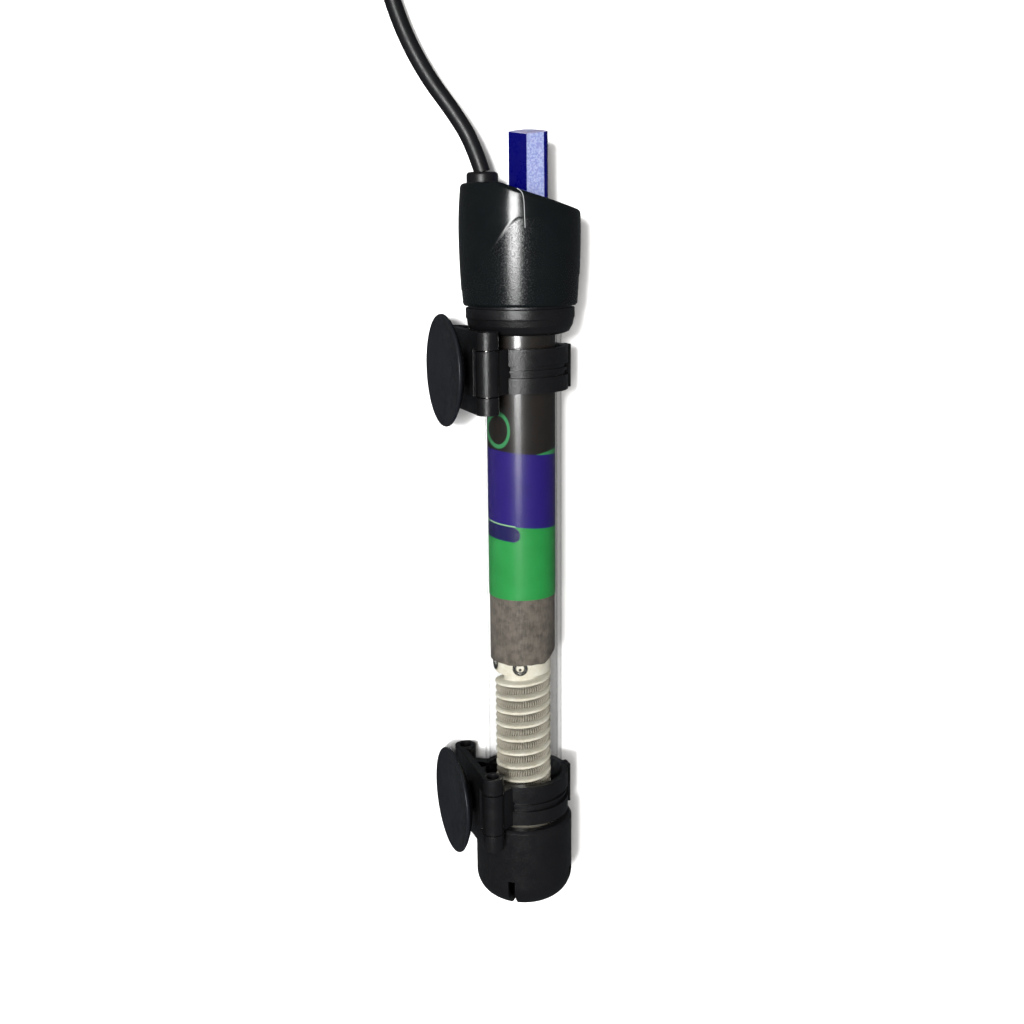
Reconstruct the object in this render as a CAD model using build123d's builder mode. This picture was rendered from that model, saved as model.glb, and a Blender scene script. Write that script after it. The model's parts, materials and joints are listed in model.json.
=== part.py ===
from build123d import *

import os
from math import cos, pi, radians, sin, sqrt, tan

# Submersible aquarium heater, lying on a table. Millimetres, +Z up. The glass tube runs along +Y,
# from the guard cap to the head, and the suction cups face -X. "Station" is the distance along
# the tube from the guard cap's end. The head is turned about the tube, away from the clamps.

# ---------------------------------------------------------------- driving dimensions
LENGTH = 224.0  # guard cap's end to knob's top
GLASS_R = 11.4
GLASS_WALL = 1.2
GLASS_BOTTOM = 4.2
GLASS_TOP = 190.0

CAP_R = 14.4
CAP_TOP = 25.6
CAP_CORNER = 7.5
CAP_WALL = 1.6

CORE_R = 8.2
CORE_BOTTOM = 22.0
CORE_TOP = 77.5
TURN_PITCH = 4.26

SLEEVE_R = 9.45
SLEEVE_BOTTOM = 75.3
LABEL_R = 9.65
LABEL_BOTTOM = 94.8
LABEL_TOP = 170.0

HEAD_TURN = 20.0  # degrees about the tube, between the clamps and the head
HEAD_HALF_WIDTH = 16.7
HEAD_BOTTOM = 177.3
HEAD_TOP = 209.9
HEAD_SLANT_START = -6.2  # to the right of the axis
HEAD_SLANT = 0.318  # drop per millimetre to the right
COLLAR_R = 15.1
COLLAR_BOTTOM = 169.6

KNOB_RIGHT = 2.5
KNOB_HALF_WIDTH = 5.3
GLAND_LEFT = 10.0
GLAND_TOP = 212.8
GLAND_R = 4.3
SPINDLE_R = 2.0
CAM_LEAD = 1.2  # how far one turn of the knob would move the contact lever's tip

CLAMP_STATIONS = {"upper": 160.1, "lower": 33.3}
STRAP_HEIGHT = 12.0
JAW_OUT_R = 13.3
BARREL_HEIGHT = 22.2
BARREL_R = 3.1
BARREL_X = 14.2  # from the tube's axis, towards the cups
BARREL_Z = 12.6  # from the tube's axis, up or down
CUP_R = 15.4
CUP_RIM = 23.0  # the rim's plane, from the tube's axis

CORD_R = 2.2
RUNNING = 0.05  # radial clearance of a pin or shaft that turns
APART = 0.3  # gap between bodies that move past each other

# ---------------------------------------------------------------- frame
AXIS_H = BARREL_Z + BARREL_R  # the hinge barrels and the head rest on the table
HEAD_HALF_DEPTH = (
    sqrt(AXIS_H**2 - (HEAD_HALF_WIDTH * sin(radians(HEAD_TURN))) ** 2) / cos(radians(HEAD_TURN))
)
HEAD_REACH = sqrt(
    (HEAD_HALF_WIDTH * cos(radians(HEAD_TURN))) ** 2 + (HEAD_HALF_DEPTH * sin(radians(HEAD_TURN))) ** 2
)
TUBE_X = (CUP_RIM - HEAD_REACH) / 2  # puts the footprint's middle on the origin
CAP_Y = -LENGTH / 2

TUBE_AXIS = Axis((TUBE_X, CAP_Y, AXIS_H), (0, 1, 0))
PROFILE = Plane(origin=(TUBE_X, CAP_Y, AXIS_H), x_dir=(1, 0, 0), z_dir=(0, 0, 1))
RIGHT = Vector(cos(radians(HEAD_TURN)), 0, sin(radians(HEAD_TURN)))
FRONT = Vector(-sin(radians(HEAD_TURN)), 0, cos(radians(HEAD_TURN)))


def head_point(right, front, station):
    """A point given in the head's own turned directions."""
    return Vector(TUBE_X, CAP_Y + station, AXIS_H) + RIGHT * right + FRONT * front


def head_plane(station, right=0.0, front=0.0):
    """Square to the tube; local x to the head's right, local y to its back."""
    return Plane(origin=head_point(right, front, station), x_dir=RIGHT, z_dir=(0, 1, 0))


def front_plane(front=0.0):
    """Along the tube and facing the head's front; local x right, local y station."""
    return Plane(origin=head_point(0, front, 0), x_dir=RIGHT, z_dir=FRONT)


def clamp_plane(station):
    """Square to the tube; local x to the cups, local y up."""
    return Plane(origin=(TUBE_X, CAP_Y + station, AXIS_H), x_dir=(-1, 0, 0), z_dir=(0, 1, 0))


def band(inner, outer, start, end, mode=Mode.ADD):
    """Turn a plain ring about the tube's axis, between two stations."""
    with BuildSketch(PROFILE) as profile:
        with Locations(((inner + outer) / 2, (start + end) / 2)):
            Rectangle(outer - inner, end - start)
    revolve(profile.sketch, axis=TUBE_AXIS, mode=mode)


def rod(radius, start, end, right=0.0, front=0.0, mode=Mode.ADD):
    """A round bar along the tube, placed in the head's directions."""
    with BuildSketch(head_plane(start, right, front)) as profile:
        Circle(radius)
    extrude(profile.sketch, amount=end - start, mode=mode)


def block(right, front, stations, mode=Mode.ADD):
    """A box from (low, high) pairs in the head's directions."""
    with BuildSketch(head_plane(stations[0], sum(right) / 2, sum(front) / 2)) as profile:
        Rectangle(right[1] - right[0], front[1] - front[0])
    extrude(profile.sketch, amount=stations[1] - stations[0], mode=mode)


PIECES = []


def finish(builder, name):
    """Name a finished piece and write its file."""
    builder.part.label = name
    PIECES.append(name)
    export_step(builder.part, f"parts/{name}.step")


os.makedirs("parts", exist_ok=True)

# ---------------------------------------------------------------- glass tube
GLASS_IN = GLASS_R - GLASS_WALL
DOME_STATION = GLASS_BOTTOM + GLASS_R  # centre of the round bottom
QUARTER = cos(radians(45))

with BuildPart() as glass_tube:
    with BuildSketch(PROFILE):
        with BuildLine():
            Line((GLASS_R, DOME_STATION), (GLASS_R, GLASS_TOP))
            Line((GLASS_R, GLASS_TOP), (GLASS_IN, GLASS_TOP))
            Line((GLASS_IN, GLASS_TOP), (GLASS_IN, DOME_STATION))
            ThreePointArc(
                (GLASS_IN, DOME_STATION),
                (GLASS_IN * QUARTER, DOME_STATION - GLASS_IN * QUARTER),
                (0, DOME_STATION - GLASS_IN),
            )
            Line((0, DOME_STATION - GLASS_IN), (0, GLASS_BOTTOM))
            ThreePointArc(
                (0, GLASS_BOTTOM),
                (GLASS_R * QUARTER, DOME_STATION - GLASS_R * QUARTER),
                (GLASS_R, DOME_STATION),
            )
        make_face()
    revolve(axis=TUBE_AXIS)
finish(glass_tube, "glass_tube")

# ---------------------------------------------------------------- label and sleeve
with BuildPart() as label_sleeve:
    band(SLEEVE_R, LABEL_R, LABEL_BOTTOM, LABEL_TOP)
finish(label_sleeve, "label_sleeve")

SLEEVE_WALL = 0.5
with BuildPart() as insulation_sleeve:
    band(SLEEVE_R - SLEEVE_WALL, SLEEVE_R, SLEEVE_BOTTOM, LABEL_TOP)
finish(insulation_sleeve, "insulation_sleeve")

# ---------------------------------------------------------------- heating element
CORE_BODY_R = 5.6
COLLAR_HEIGHT = 6.2
RIDGE_HALF = 0.6
WIRE_COIL_R = 1.15  # the fine coiled wire, as one thick strand
WIRE_GAP = 0.05
LEAD_HOLE_R = 1.4
EYELET_R = 0.9
EYELET_STATION = 74.1
EYELET_ANGLES = (-10.0, -80.0)  # about the tube from the head's front, to the left
RIDGE_START = CORE_BOTTOM + 4.0
RIDGE_LENGTH = CORE_TOP - COLLAR_HEIGHT - RIDGE_START


def helix_along_tube(radius, start, length):
    """A right-handed turn line about the tube's axis."""
    at = Location(Plane(origin=(TUBE_X, CAP_Y + start, AXIS_H), x_dir=FRONT, z_dir=(0, 1, 0)))
    return at * Helix(pitch=TURN_PITCH, height=length, radius=radius)


def eyelet_plane(angle, radius):
    """A plane on the collar's surface, facing outwards."""
    out = RIGHT * sin(radians(angle)) + FRONT * cos(radians(angle))
    middle = Vector(TUBE_X, CAP_Y + EYELET_STATION, AXIS_H)
    return Plane(origin=middle + out * radius, x_dir=(0, 1, 0), z_dir=out)


ridge_line = helix_along_tube(CORE_BODY_R + 0.8, RIDGE_START, RIDGE_LENGTH)
with BuildPart() as ceramic_core:
    band(0, CORE_BODY_R, CORE_BOTTOM, CORE_TOP)
    band(CORE_BODY_R - 1, CORE_R, CORE_TOP - COLLAR_HEIGHT, CORE_TOP)
    band(CORE_BODY_R - 1, CORE_R, CORE_BOTTOM, RIDGE_START)
    with BuildSketch(Plane(origin=ridge_line @ 0, x_dir=FRONT, z_dir=ridge_line % 0)):
        Rectangle(2 * (CORE_R - CORE_BODY_R - 0.8), 2 * RIDGE_HALF)
    sweep(path=ridge_line, is_frenet=True)
    rod(LEAD_HOLE_R, CORE_BOTTOM, CORE_TOP, mode=Mode.SUBTRACT)
    for angle in EYELET_ANGLES:
        with BuildSketch(eyelet_plane(angle, CORE_R + 0.5)):
            Circle(EYELET_R)
        extrude(amount=-2.5, mode=Mode.SUBTRACT)
finish(ceramic_core, "ceramic_core")

coil_line = helix_along_tube(
    CORE_BODY_R + WIRE_COIL_R + WIRE_GAP, RIDGE_START + TURN_PITCH / 2, RIDGE_LENGTH - TURN_PITCH
)
with BuildPart() as heating_coil:
    with BuildSketch(Plane(origin=coil_line @ 0, z_dir=coil_line % 0)):
        Circle(WIRE_COIL_R)
    sweep(path=coil_line, is_frenet=True)
finish(heating_coil, "heating_coil")

with BuildPart() as element_terminals:
    for angle in EYELET_ANGLES:
        with BuildSketch(eyelet_plane(angle, CORE_R + 0.2)):
            Circle(EYELET_R)
            Circle(EYELET_R - 0.35, mode=Mode.SUBTRACT)
        extrude(amount=-2.0)
finish(element_terminals, "element_terminals")

SPACER_STATIONS = (CORE_TOP, CORE_TOP + 8.0)
SPACER_HEIGHT = 0.6
LEAD_RIGHT = 6.0
LEAD_R = 0.5
with BuildPart() as core_spacers:
    for station in SPACER_STATIONS:
        band(0, SLEEVE_R - SLEEVE_WALL, station, station + SPACER_HEIGHT)
    for side in (-1, 1):
        rod(LEAD_R, CORE_TOP, CORE_TOP + 10, right=side * LEAD_RIGHT, mode=Mode.SUBTRACT)
finish(core_spacers, "core_spacers")

FRAME_BOTTOM = 104.0
with BuildPart() as element_leads:
    for side in (-1, 1):
        rod(LEAD_R, CORE_TOP, FRAME_BOTTOM, right=side * LEAD_RIGHT)
finish(element_leads, "element_leads")

with BuildPart() as end_cushion:
    with BuildSketch(PROFILE):
        Polygon((0, 12), (7.5, 12), (9.6, 15.5), (9.8, CORE_BOTTOM), (0, CORE_BOTTOM), align=None)
    revolve(axis=TUBE_AXIS)
finish(end_cushion, "end_cushion")

# ---------------------------------------------------------------- guard cap
CAP_IN = CAP_R - CAP_WALL
CAP_FLOOR = 2.0
CAP_SLOT_WIDTH = 2.0
CAP_SLOT_TOP = 9.5
CAP_SLOT_TURN = 16.0  # from the head's front, to the left
CAP_SLOTS = 4
CAP_RIBS = 8
RIB_WIDTH = 1.4
INNER_CORNER = CAP_CORNER - CAP_WALL

with BuildPart() as guard_cap:
    with BuildSketch(PROFILE):
        with BuildLine():
            Line((0, 0), (CAP_R - CAP_CORNER, 0))
            ThreePointArc(
                (CAP_R - CAP_CORNER, 0),
                (CAP_R - CAP_CORNER * (1 - QUARTER), CAP_CORNER * (1 - QUARTER)),
                (CAP_R, CAP_CORNER),
            )
            Line((CAP_R, CAP_CORNER), (CAP_R, CAP_TOP - 0.8))
            Line((CAP_R, CAP_TOP - 0.8), (CAP_R - 0.8, CAP_TOP))
            Line((CAP_R - 0.8, CAP_TOP), (GLASS_R, CAP_TOP))
            Line((GLASS_R, CAP_TOP), (GLASS_R, CAP_TOP - 2))
            Line((GLASS_R, CAP_TOP - 2), (CAP_IN, CAP_TOP - 2))
            Line((CAP_IN, CAP_TOP - 2), (CAP_IN, CAP_FLOOR + INNER_CORNER))
            ThreePointArc(
                (CAP_IN, CAP_FLOOR + INNER_CORNER),
                (CAP_IN - INNER_CORNER * (1 - QUARTER), CAP_FLOOR + INNER_CORNER * (1 - QUARTER)),
                (CAP_IN - INNER_CORNER, CAP_FLOOR),
            )
            Line((CAP_IN - INNER_CORNER, CAP_FLOOR), (0, CAP_FLOOR))
            Line((0, CAP_FLOOR), (0, 0))
        make_face()
    revolve(axis=TUBE_AXIS)
    for rib in range(CAP_RIBS):
        rib_turn = HEAD_TURN + CAP_SLOT_TURN + (rib + 0.5) * 360 / CAP_RIBS
        out = Vector(-sin(radians(rib_turn)), 0, cos(radians(rib_turn)))
        rib_middle = (GLASS_R + CAP_IN + 0.2) / 2
        start = Vector(TUBE_X, CAP_Y + DOME_STATION, AXIS_H) + out * rib_middle
        with BuildSketch(Plane(origin=start, x_dir=out, z_dir=(0, 1, 0))):
            Rectangle(CAP_IN + 0.2 - GLASS_R, RIB_WIDTH)
        extrude(amount=CAP_TOP - 1 - DOME_STATION)
    for slot in range(CAP_SLOTS):
        slot_turn = HEAD_TURN + CAP_SLOT_TURN + slot * 360 / CAP_SLOTS
        out = Vector(-sin(radians(slot_turn)), 0, cos(radians(slot_turn)))
        start = Vector(TUBE_X, CAP_Y - 1, AXIS_H) + out * (CAP_R + 7.5) / 2
        with BuildSketch(Plane(origin=start, x_dir=out, z_dir=(0, 1, 0))):
            Rectangle(CAP_R - 6.0, CAP_SLOT_WIDTH)
        extrude(amount=CAP_SLOT_TOP + 1, mode=Mode.SUBTRACT)
    band(GLASS_R - 1, GLASS_R, DOME_STATION, CAP_TOP, mode=Mode.SUBTRACT)
finish(guard_cap, "guard_cap")

# ---------------------------------------------------------------- seal collar
SKIRT_R = 12.1
RING_LOW = 173.7
RING_HIGH = HEAD_BOTTOM - 0.6
NECK_R = 13.2
NECK_TOP = 182.0
with BuildPart() as seal_collar:
    with BuildSketch(PROFILE):
        Polygon(
            (GLASS_R, COLLAR_BOTTOM),
            (SKIRT_R, COLLAR_BOTTOM),
            (COLLAR_R - 1.4, RING_LOW - 2.2),
            (COLLAR_R - 0.3, RING_LOW),
            (COLLAR_R, RING_LOW + 0.3),
            (COLLAR_R, RING_HIGH),
            (COLLAR_R - 0.8, RING_HIGH),
            (COLLAR_R - 0.8, HEAD_BOTTOM),
            (NECK_R, HEAD_BOTTOM),
            (NECK_R, NECK_TOP),
            (GLASS_R, NECK_TOP),
            align=None,
        )
    revolve(axis=TUBE_AXIS)
finish(seal_collar, "seal_collar")

# ---------------------------------------------------------------- tube plug and seals
PLUG_BOTTOM = 176.0
FLANGE_TOP = GLASS_TOP + 2.5
BOSS_TOP = FLANGE_TOP + 3.5
PLUG_R = GLASS_IN - 0.1
O_RING_STATIONS = (180.5, 185.5)
O_RING_WIRE = 0.85
GROOVE_R = GLASS_IN - 2 * O_RING_WIRE - 0.05
BOSS_R = 5.0
SEAL_POCKET_R = 3.3
SEAL_WIRE = 0.6
LEAD_PASS_LEFT = 6.2
LEAD_PASS_R = 1.5

with BuildPart() as tube_plug:
    band(0, PLUG_R, PLUG_BOTTOM, GLASS_TOP)
    band(0, GLASS_R, GLASS_TOP, FLANGE_TOP)
    rod(BOSS_R, FLANGE_TOP, BOSS_TOP, right=KNOB_RIGHT)
    for station in O_RING_STATIONS:
        band(GROOVE_R, GLASS_R, station - 1, station + 1, mode=Mode.SUBTRACT)
    rod(SPINDLE_R + RUNNING, PLUG_BOTTOM, BOSS_TOP, right=KNOB_RIGHT, mode=Mode.SUBTRACT)
    rod(SEAL_POCKET_R, BOSS_TOP - 1.4, BOSS_TOP, right=KNOB_RIGHT, mode=Mode.SUBTRACT)
    rod(LEAD_PASS_R, PLUG_BOTTOM, FLANGE_TOP, right=-LEAD_PASS_LEFT, mode=Mode.SUBTRACT)
finish(tube_plug, "tube_plug")

with BuildPart() as plug_o_rings:
    for station in O_RING_STATIONS:
        with BuildSketch(PROFILE):
            with Locations((GLASS_IN - O_RING_WIRE - 0.02, station)):
                Circle(O_RING_WIRE)
        revolve(axis=TUBE_AXIS)
finish(plug_o_rings, "plug_o_rings")

KNOB_AXIS = Axis(tuple(head_point(KNOB_RIGHT, 0, 0)), (0, 1, 0))
seal_profile = Plane(origin=head_point(KNOB_RIGHT, 0, 0), x_dir=(1, 0, 0), z_dir=(0, 0, 1))
with BuildPart() as spindle_o_ring:
    with BuildSketch(seal_profile):
        with Locations((SPINDLE_R + RUNNING + SEAL_WIRE, BOSS_TOP - 0.7)):
            Circle(SEAL_WIRE)
    revolve(axis=KNOB_AXIS)
finish(spindle_o_ring, "spindle_o_ring")

# ---------------------------------------------------------------- head shell
HEAD_OUTLINE = (  # station and half width; the smooth sides swell 0.05 past the widest
    (HEAD_BOTTOM, 15.9),
    (182.0, 16.35),
    (196.5, HEAD_HALF_WIDTH - 0.05),
    (HEAD_TOP + 2, 15.7),
)
WELL_R = 6.2
WELL_FLOOR = BOSS_TOP + 0.3
CHAMBER_TOP = 203.0
CHAMBER_RIGHT = -4.6
STEM_R = 3.2
DIAL_IN_R = 6.5
DIAL_OUT_R = 8.6
DIAL_DEPTH = 0.6


def slanted_top(below=0.0, reach=22.0):
    """The space above the head's flat and slanted top, lowered by the given depth."""
    flat = HEAD_TOP - below
    with BuildSketch(front_plane()) as profile:
        Polygon(
            (-reach, flat),
            (HEAD_SLANT_START, flat),
            (reach, flat - HEAD_SLANT * (reach - HEAD_SLANT_START)),
            (reach, HEAD_TOP + 30),
            (-reach, HEAD_TOP + 30),
            align=None,
        )
    return extrude(profile.sketch, amount=25, both=True, mode=Mode.PRIVATE)


with BuildPart() as dial_blank:
    rod(DIAL_OUT_R, CHAMBER_TOP, HEAD_TOP + 1, right=KNOB_RIGHT)
    rod(DIAL_IN_R, CHAMBER_TOP, HEAD_TOP + 1, right=KNOB_RIGHT, mode=Mode.SUBTRACT)
    add(slanted_top(below=DIAL_DEPTH), mode=Mode.INTERSECT)
dial_space = dial_blank.part

with BuildPart() as head_shell:
    for station, half_width in HEAD_OUTLINE:
        with BuildSketch(head_plane(station)):
            Ellipse(half_width, half_width * HEAD_HALF_DEPTH / HEAD_HALF_WIDTH)
    loft()
    add(slanted_top(), mode=Mode.SUBTRACT)
    rim = edges().filter_by(lambda e: e.center().Y > CAP_Y + 200)
    fillet(rim, 1.2)
    rod(NECK_R, HEAD_BOTTOM - 1, NECK_TOP, mode=Mode.SUBTRACT)
    rod(GLASS_R, HEAD_BOTTOM - 1, FLANGE_TOP, mode=Mode.SUBTRACT)
    rod(BOSS_R, FLANGE_TOP, WELL_FLOOR, right=KNOB_RIGHT, mode=Mode.SUBTRACT)
    rod(WELL_R, WELL_FLOOR, HEAD_TOP + 1, right=KNOB_RIGHT, mode=Mode.SUBTRACT)
    rod(STEM_R, CHAMBER_TOP, HEAD_TOP + 1, right=-GLAND_LEFT, mode=Mode.SUBTRACT)
    block((-GLAND_LEFT - 2, CHAMBER_RIGHT), (-2, 2), (FLANGE_TOP, CHAMBER_TOP), mode=Mode.SUBTRACT)
    add(dial_space, mode=Mode.SUBTRACT)
finish(head_shell, "head_shell")

with BuildPart() as dial_ring:
    add(dial_space)
    add(slanted_top(), mode=Mode.SUBTRACT)
finish(dial_ring, "dial_ring")

# ---------------------------------------------------------------- cable gland
with BuildPart() as cable_gland:
    rod(STEM_R, CHAMBER_TOP, HEAD_TOP, right=-GLAND_LEFT)
    rod(GLAND_R, HEAD_TOP, GLAND_TOP, right=-GLAND_LEFT)
    fillet(edges().group_by(Axis.Y)[-1], 0.8)
    rod(1.5, CHAMBER_TOP, GLAND_TOP - 6, right=-GLAND_LEFT, mode=Mode.SUBTRACT)
finish(cable_gland, "cable_gland")

# ---------------------------------------------------------------- knob and spindle
HUB_R = WELL_R - APART
HUB_BOTTOM = WELL_FLOOR + 0.8
HUB_TOP = 204.4
BLADE_FRONT = 3.1
BLADE_BACK = 2.9
RIDGE_LEFT = 0.6
RIGHT_EDGE = 0.5  # how far the thin right edge stands forward
TOP_FALL = 1.6  # the knob's top falls from back to front
SPINDLE_BOTTOM = 163.5
SPINDLE_TOP = HUB_BOTTOM + 5

with BuildPart() as knob:
    rod(HUB_R, HUB_BOTTOM, HUB_TOP, right=KNOB_RIGHT)
    with BuildSketch(head_plane(HUB_TOP, KNOB_RIGHT)):
        with BuildLine():
            Line((-KNOB_HALF_WIDTH, 0), (-RIDGE_LEFT, -BLADE_FRONT))
            Line((-RIDGE_LEFT, -BLADE_FRONT), (KNOB_HALF_WIDTH - 0.5, -RIGHT_EDGE))
            Line((KNOB_HALF_WIDTH - 0.5, -RIGHT_EDGE), (KNOB_HALF_WIDTH, 0.4))
            ThreePointArc((KNOB_HALF_WIDTH, 0.4), (0, BLADE_BACK), (-KNOB_HALF_WIDTH, 0))
        make_face()
    extrude(amount=LENGTH - HUB_TOP)
    top_cut = Plane(
        origin=head_point(KNOB_RIGHT, -BLADE_BACK, LENGTH),
        x_dir=RIGHT,
        z_dir=Vector(0, 1, 0) * (BLADE_FRONT + BLADE_BACK) + FRONT * TOP_FALL,
    )
    with BuildSketch(top_cut):
        Rectangle(30, 30)
    extrude(amount=10, mode=Mode.SUBTRACT)
    rod(SPINDLE_R, HUB_BOTTOM, SPINDLE_TOP, right=KNOB_RIGHT, mode=Mode.SUBTRACT)
finish(knob, "knob")

with BuildPart() as spindle:
    rod(SPINDLE_R, SPINDLE_BOTTOM, SPINDLE_TOP, right=KNOB_RIGHT)
    chamfer(edges().group_by(Axis.Y)[0], 0.5)
finish(spindle, "spindle")

# ---------------------------------------------------------------- thermostat
FRAME_BACK = -5.6
FRAME_FACE = -4.2
LEVER_LEFT = 5.0
LEVER_STATION = 161.0
LEVER_FOOT = 133.0
LEAF = 0.8
STRIP_HALF = 1.6
CONTACT_R = 1.3
BIMETAL_RIGHT = 2.2
BIMETAL_FOOT = 114.0
BIMETAL_TIP = 138.0

with BuildPart() as thermostat_frame:
    block((-6.4, 6.4), (FRAME_BACK, FRAME_FACE), (FRAME_BOTTOM, PLUG_BOTTOM))
    block((BIMETAL_RIGHT - 2, BIMETAL_RIGHT + 3), (FRAME_FACE, 2.4), (FRAME_BOTTOM + 4, BIMETAL_FOOT - APART))
finish(thermostat_frame, "thermostat_frame")

CAM_R = 3.6
CAM_BORE_R = SPINDLE_R
CAM_TOP = 170.0
CAM_STEP = 165.5  # above this the cam is a plain collar
CAM_FACE = 163.2  # the helical face's height at the lever's nub, at mid setting
CAM_TRACK = 1.0  # the helical face's width
CAM_TRACK_R = (CAM_R + CAM_BORE_R) / 2
CAM_HALF_SWEEP = 150.0  # degrees each way from mid setting
CAM_DEPTH = 3.0
cam_start = RIGHT * cos(radians(CAM_HALF_SWEEP)) + FRONT * sin(radians(CAM_HALF_SWEEP))
cam_fall = CAM_LEAD * CAM_HALF_SWEEP / 360
cam_plane = Plane(
    origin=head_point(KNOB_RIGHT, 0, CAM_FACE + CAM_DEPTH / 2 - cam_fall),
    x_dir=cam_start,
    z_dir=(0, 1, 0),
)
cam_line = Location(cam_plane) * Helix(pitch=CAM_LEAD, height=2 * cam_fall, radius=CAM_TRACK_R)
with BuildPart() as adjuster_cam:
    rod(CAM_R, CAM_STEP, CAM_TOP, right=KNOB_RIGHT)
    rod(CAM_BORE_R, CAM_STEP, CAM_TOP, right=KNOB_RIGHT, mode=Mode.SUBTRACT)
    with BuildSketch(Plane(origin=cam_line @ 0, x_dir=cam_start, z_dir=cam_line % 0)):
        Rectangle(CAM_TRACK, CAM_DEPTH)
    sweep(path=cam_line, is_frenet=True)
finish(adjuster_cam, "adjuster_cam")

LEVER_PIN_R = 0.6
LEVER_HUB_R = 1.3
NUB_RIGHT = KNOB_RIGHT + CAM_TRACK_R
ARM_END = NUB_RIGHT + 0.6
with BuildPart() as contact_lever:
    with BuildSketch(front_plane(-STRIP_HALF)):
        with Locations((-LEVER_LEFT, LEVER_STATION)):
            Circle(LEVER_HUB_R)
        with Locations((-LEVER_LEFT, (LEVER_STATION + LEVER_FOOT) / 2)):
            Rectangle(LEAF, LEVER_STATION - LEVER_FOOT)
        with Locations(((ARM_END - LEVER_LEFT) / 2, LEVER_STATION)):
            Rectangle(ARM_END + LEVER_LEFT, LEAF)
        with Locations((NUB_RIGHT, (LEVER_STATION + CAM_FACE - APART) / 2)):
            Rectangle(LEAF, CAM_FACE - APART - LEVER_STATION)
        with Locations((-LEVER_LEFT, LEVER_STATION)):
            Circle(LEVER_PIN_R + RUNNING, mode=Mode.SUBTRACT)
    extrude(amount=2 * STRIP_HALF)
finish(contact_lever, "contact_lever")

with BuildPart() as lever_pin:
    with BuildSketch(front_plane(FRAME_FACE)):
        with Locations((-LEVER_LEFT, LEVER_STATION)):
            Circle(LEVER_PIN_R)
    extrude(amount=STRIP_HALF + 0.6 - FRAME_FACE)
finish(lever_pin, "lever_pin")


def contact(name, right, station, width):
    """A contact rivet head whose axis runs to the head's right."""
    plane = Plane(origin=head_point(right, 0, station), x_dir=(0, 1, 0), z_dir=RIGHT)
    with BuildPart() as button:
        with BuildSketch(plane):
            Circle(CONTACT_R)
        extrude(amount=width)
    finish(button, name)


contact("fixed_contact", -LEVER_LEFT + LEAF / 2, LEVER_FOOT + 2, 1.2)
contact("moving_contact", BIMETAL_RIGHT - LEAF / 2 - 1.2, LEVER_FOOT + 2, 1.2)

with BuildPart() as bimetal_strip:
    block(
        (BIMETAL_RIGHT - LEAF / 2, BIMETAL_RIGHT + LEAF / 2),
        (-2.4, 2.4),
        (BIMETAL_FOOT, BIMETAL_TIP),
    )
finish(bimetal_strip, "bimetal_strip")

with BuildPart() as snap_magnet:
    block((BIMETAL_RIGHT + 2.0, BIMETAL_RIGHT + 4.4), (FRAME_FACE, 1.8), (132, 138))
finish(snap_magnet, "snap_magnet")

LAMP_R = 2.2
LAMP_PLACE = {"right": -3.0, "front": 5.0}
with BuildPart() as indicator_lamp:
    rod(LAMP_R, 116.0, 127.0, **LAMP_PLACE)
    fillet(edges().group_by(Axis.Y)[-1], LAMP_R - 0.1)
finish(indicator_lamp, "indicator_lamp")

with BuildPart() as lamp_resistor:
    rod(1.1, 106.0, 112.5, **LAMP_PLACE)
    rod(0.35, 112.5, 116.0, **LAMP_PLACE)
finish(lamp_resistor, "lamp_resistor")

with BuildPart() as capacitor:
    block((-4.5, 4.5), (-3.5, 3.5), (90.0, 101.0))
finish(capacitor, "capacitor")

SUPPLY_R = 0.6
with BuildPart() as supply_leads:
    for front in (-0.85, 0.85):
        with BuildLine():
            FilletPolyline(
                head_point(-LEAD_PASS_LEFT, front, 166.0),
                head_point(-LEAD_PASS_LEFT, front, FLANGE_TOP + 1.2),
                head_point(-GLAND_LEFT, front, CHAMBER_TOP - 2.5),
                head_point(-GLAND_LEFT, front, GLAND_TOP - 6),
                radius=[2.0, 2.0],
            )
        with BuildSketch(head_plane(166.0, -LEAD_PASS_LEFT, front)):
            Circle(SUPPLY_R)
        sweep()
finish(supply_leads, "supply_leads")

# ---------------------------------------------------------------- clamps
JAW_IN_R = GLASS_R + 0.1
PLATE_IN = 14.9
PLATE_OUT = 17.1
PLATE_HEIGHT = 20.0
SADDLE_HALF = 6.0
SOCKET_R = 3.0
POCKET_R = 3.9
POCKET_IN = 13.0
POCKET_OUT = 14.8
PIN_R = 1.8
PIN_LENGTH = 17.0
KNUCKLE_GAP = STRAP_HEIGHT / 2 + APART
TAB_REACH = 14.5
TAB_WIDTH = 1.6
TAB_GAP = 0.3
RECESS_R = 12.3


def strap_part(station, height, outer, side):
    """One height of a jaw: half a ring from its hinge side to its tab."""
    reach = 2 * JAW_OUT_R
    with BuildSketch(clamp_plane(station)) as profile:
        Circle(outer)
        Circle(JAW_IN_R, mode=Mode.SUBTRACT)
        Polygon(
            (0, side * TAB_GAP / 2),
            (-reach, side * TAB_GAP / 2),
            (-reach, side * reach),
            (BARREL_X / BARREL_Z * reach, side * reach),
            align=None,
            mode=Mode.INTERSECT,
        )
    extrude(profile.sketch, amount=height)


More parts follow.
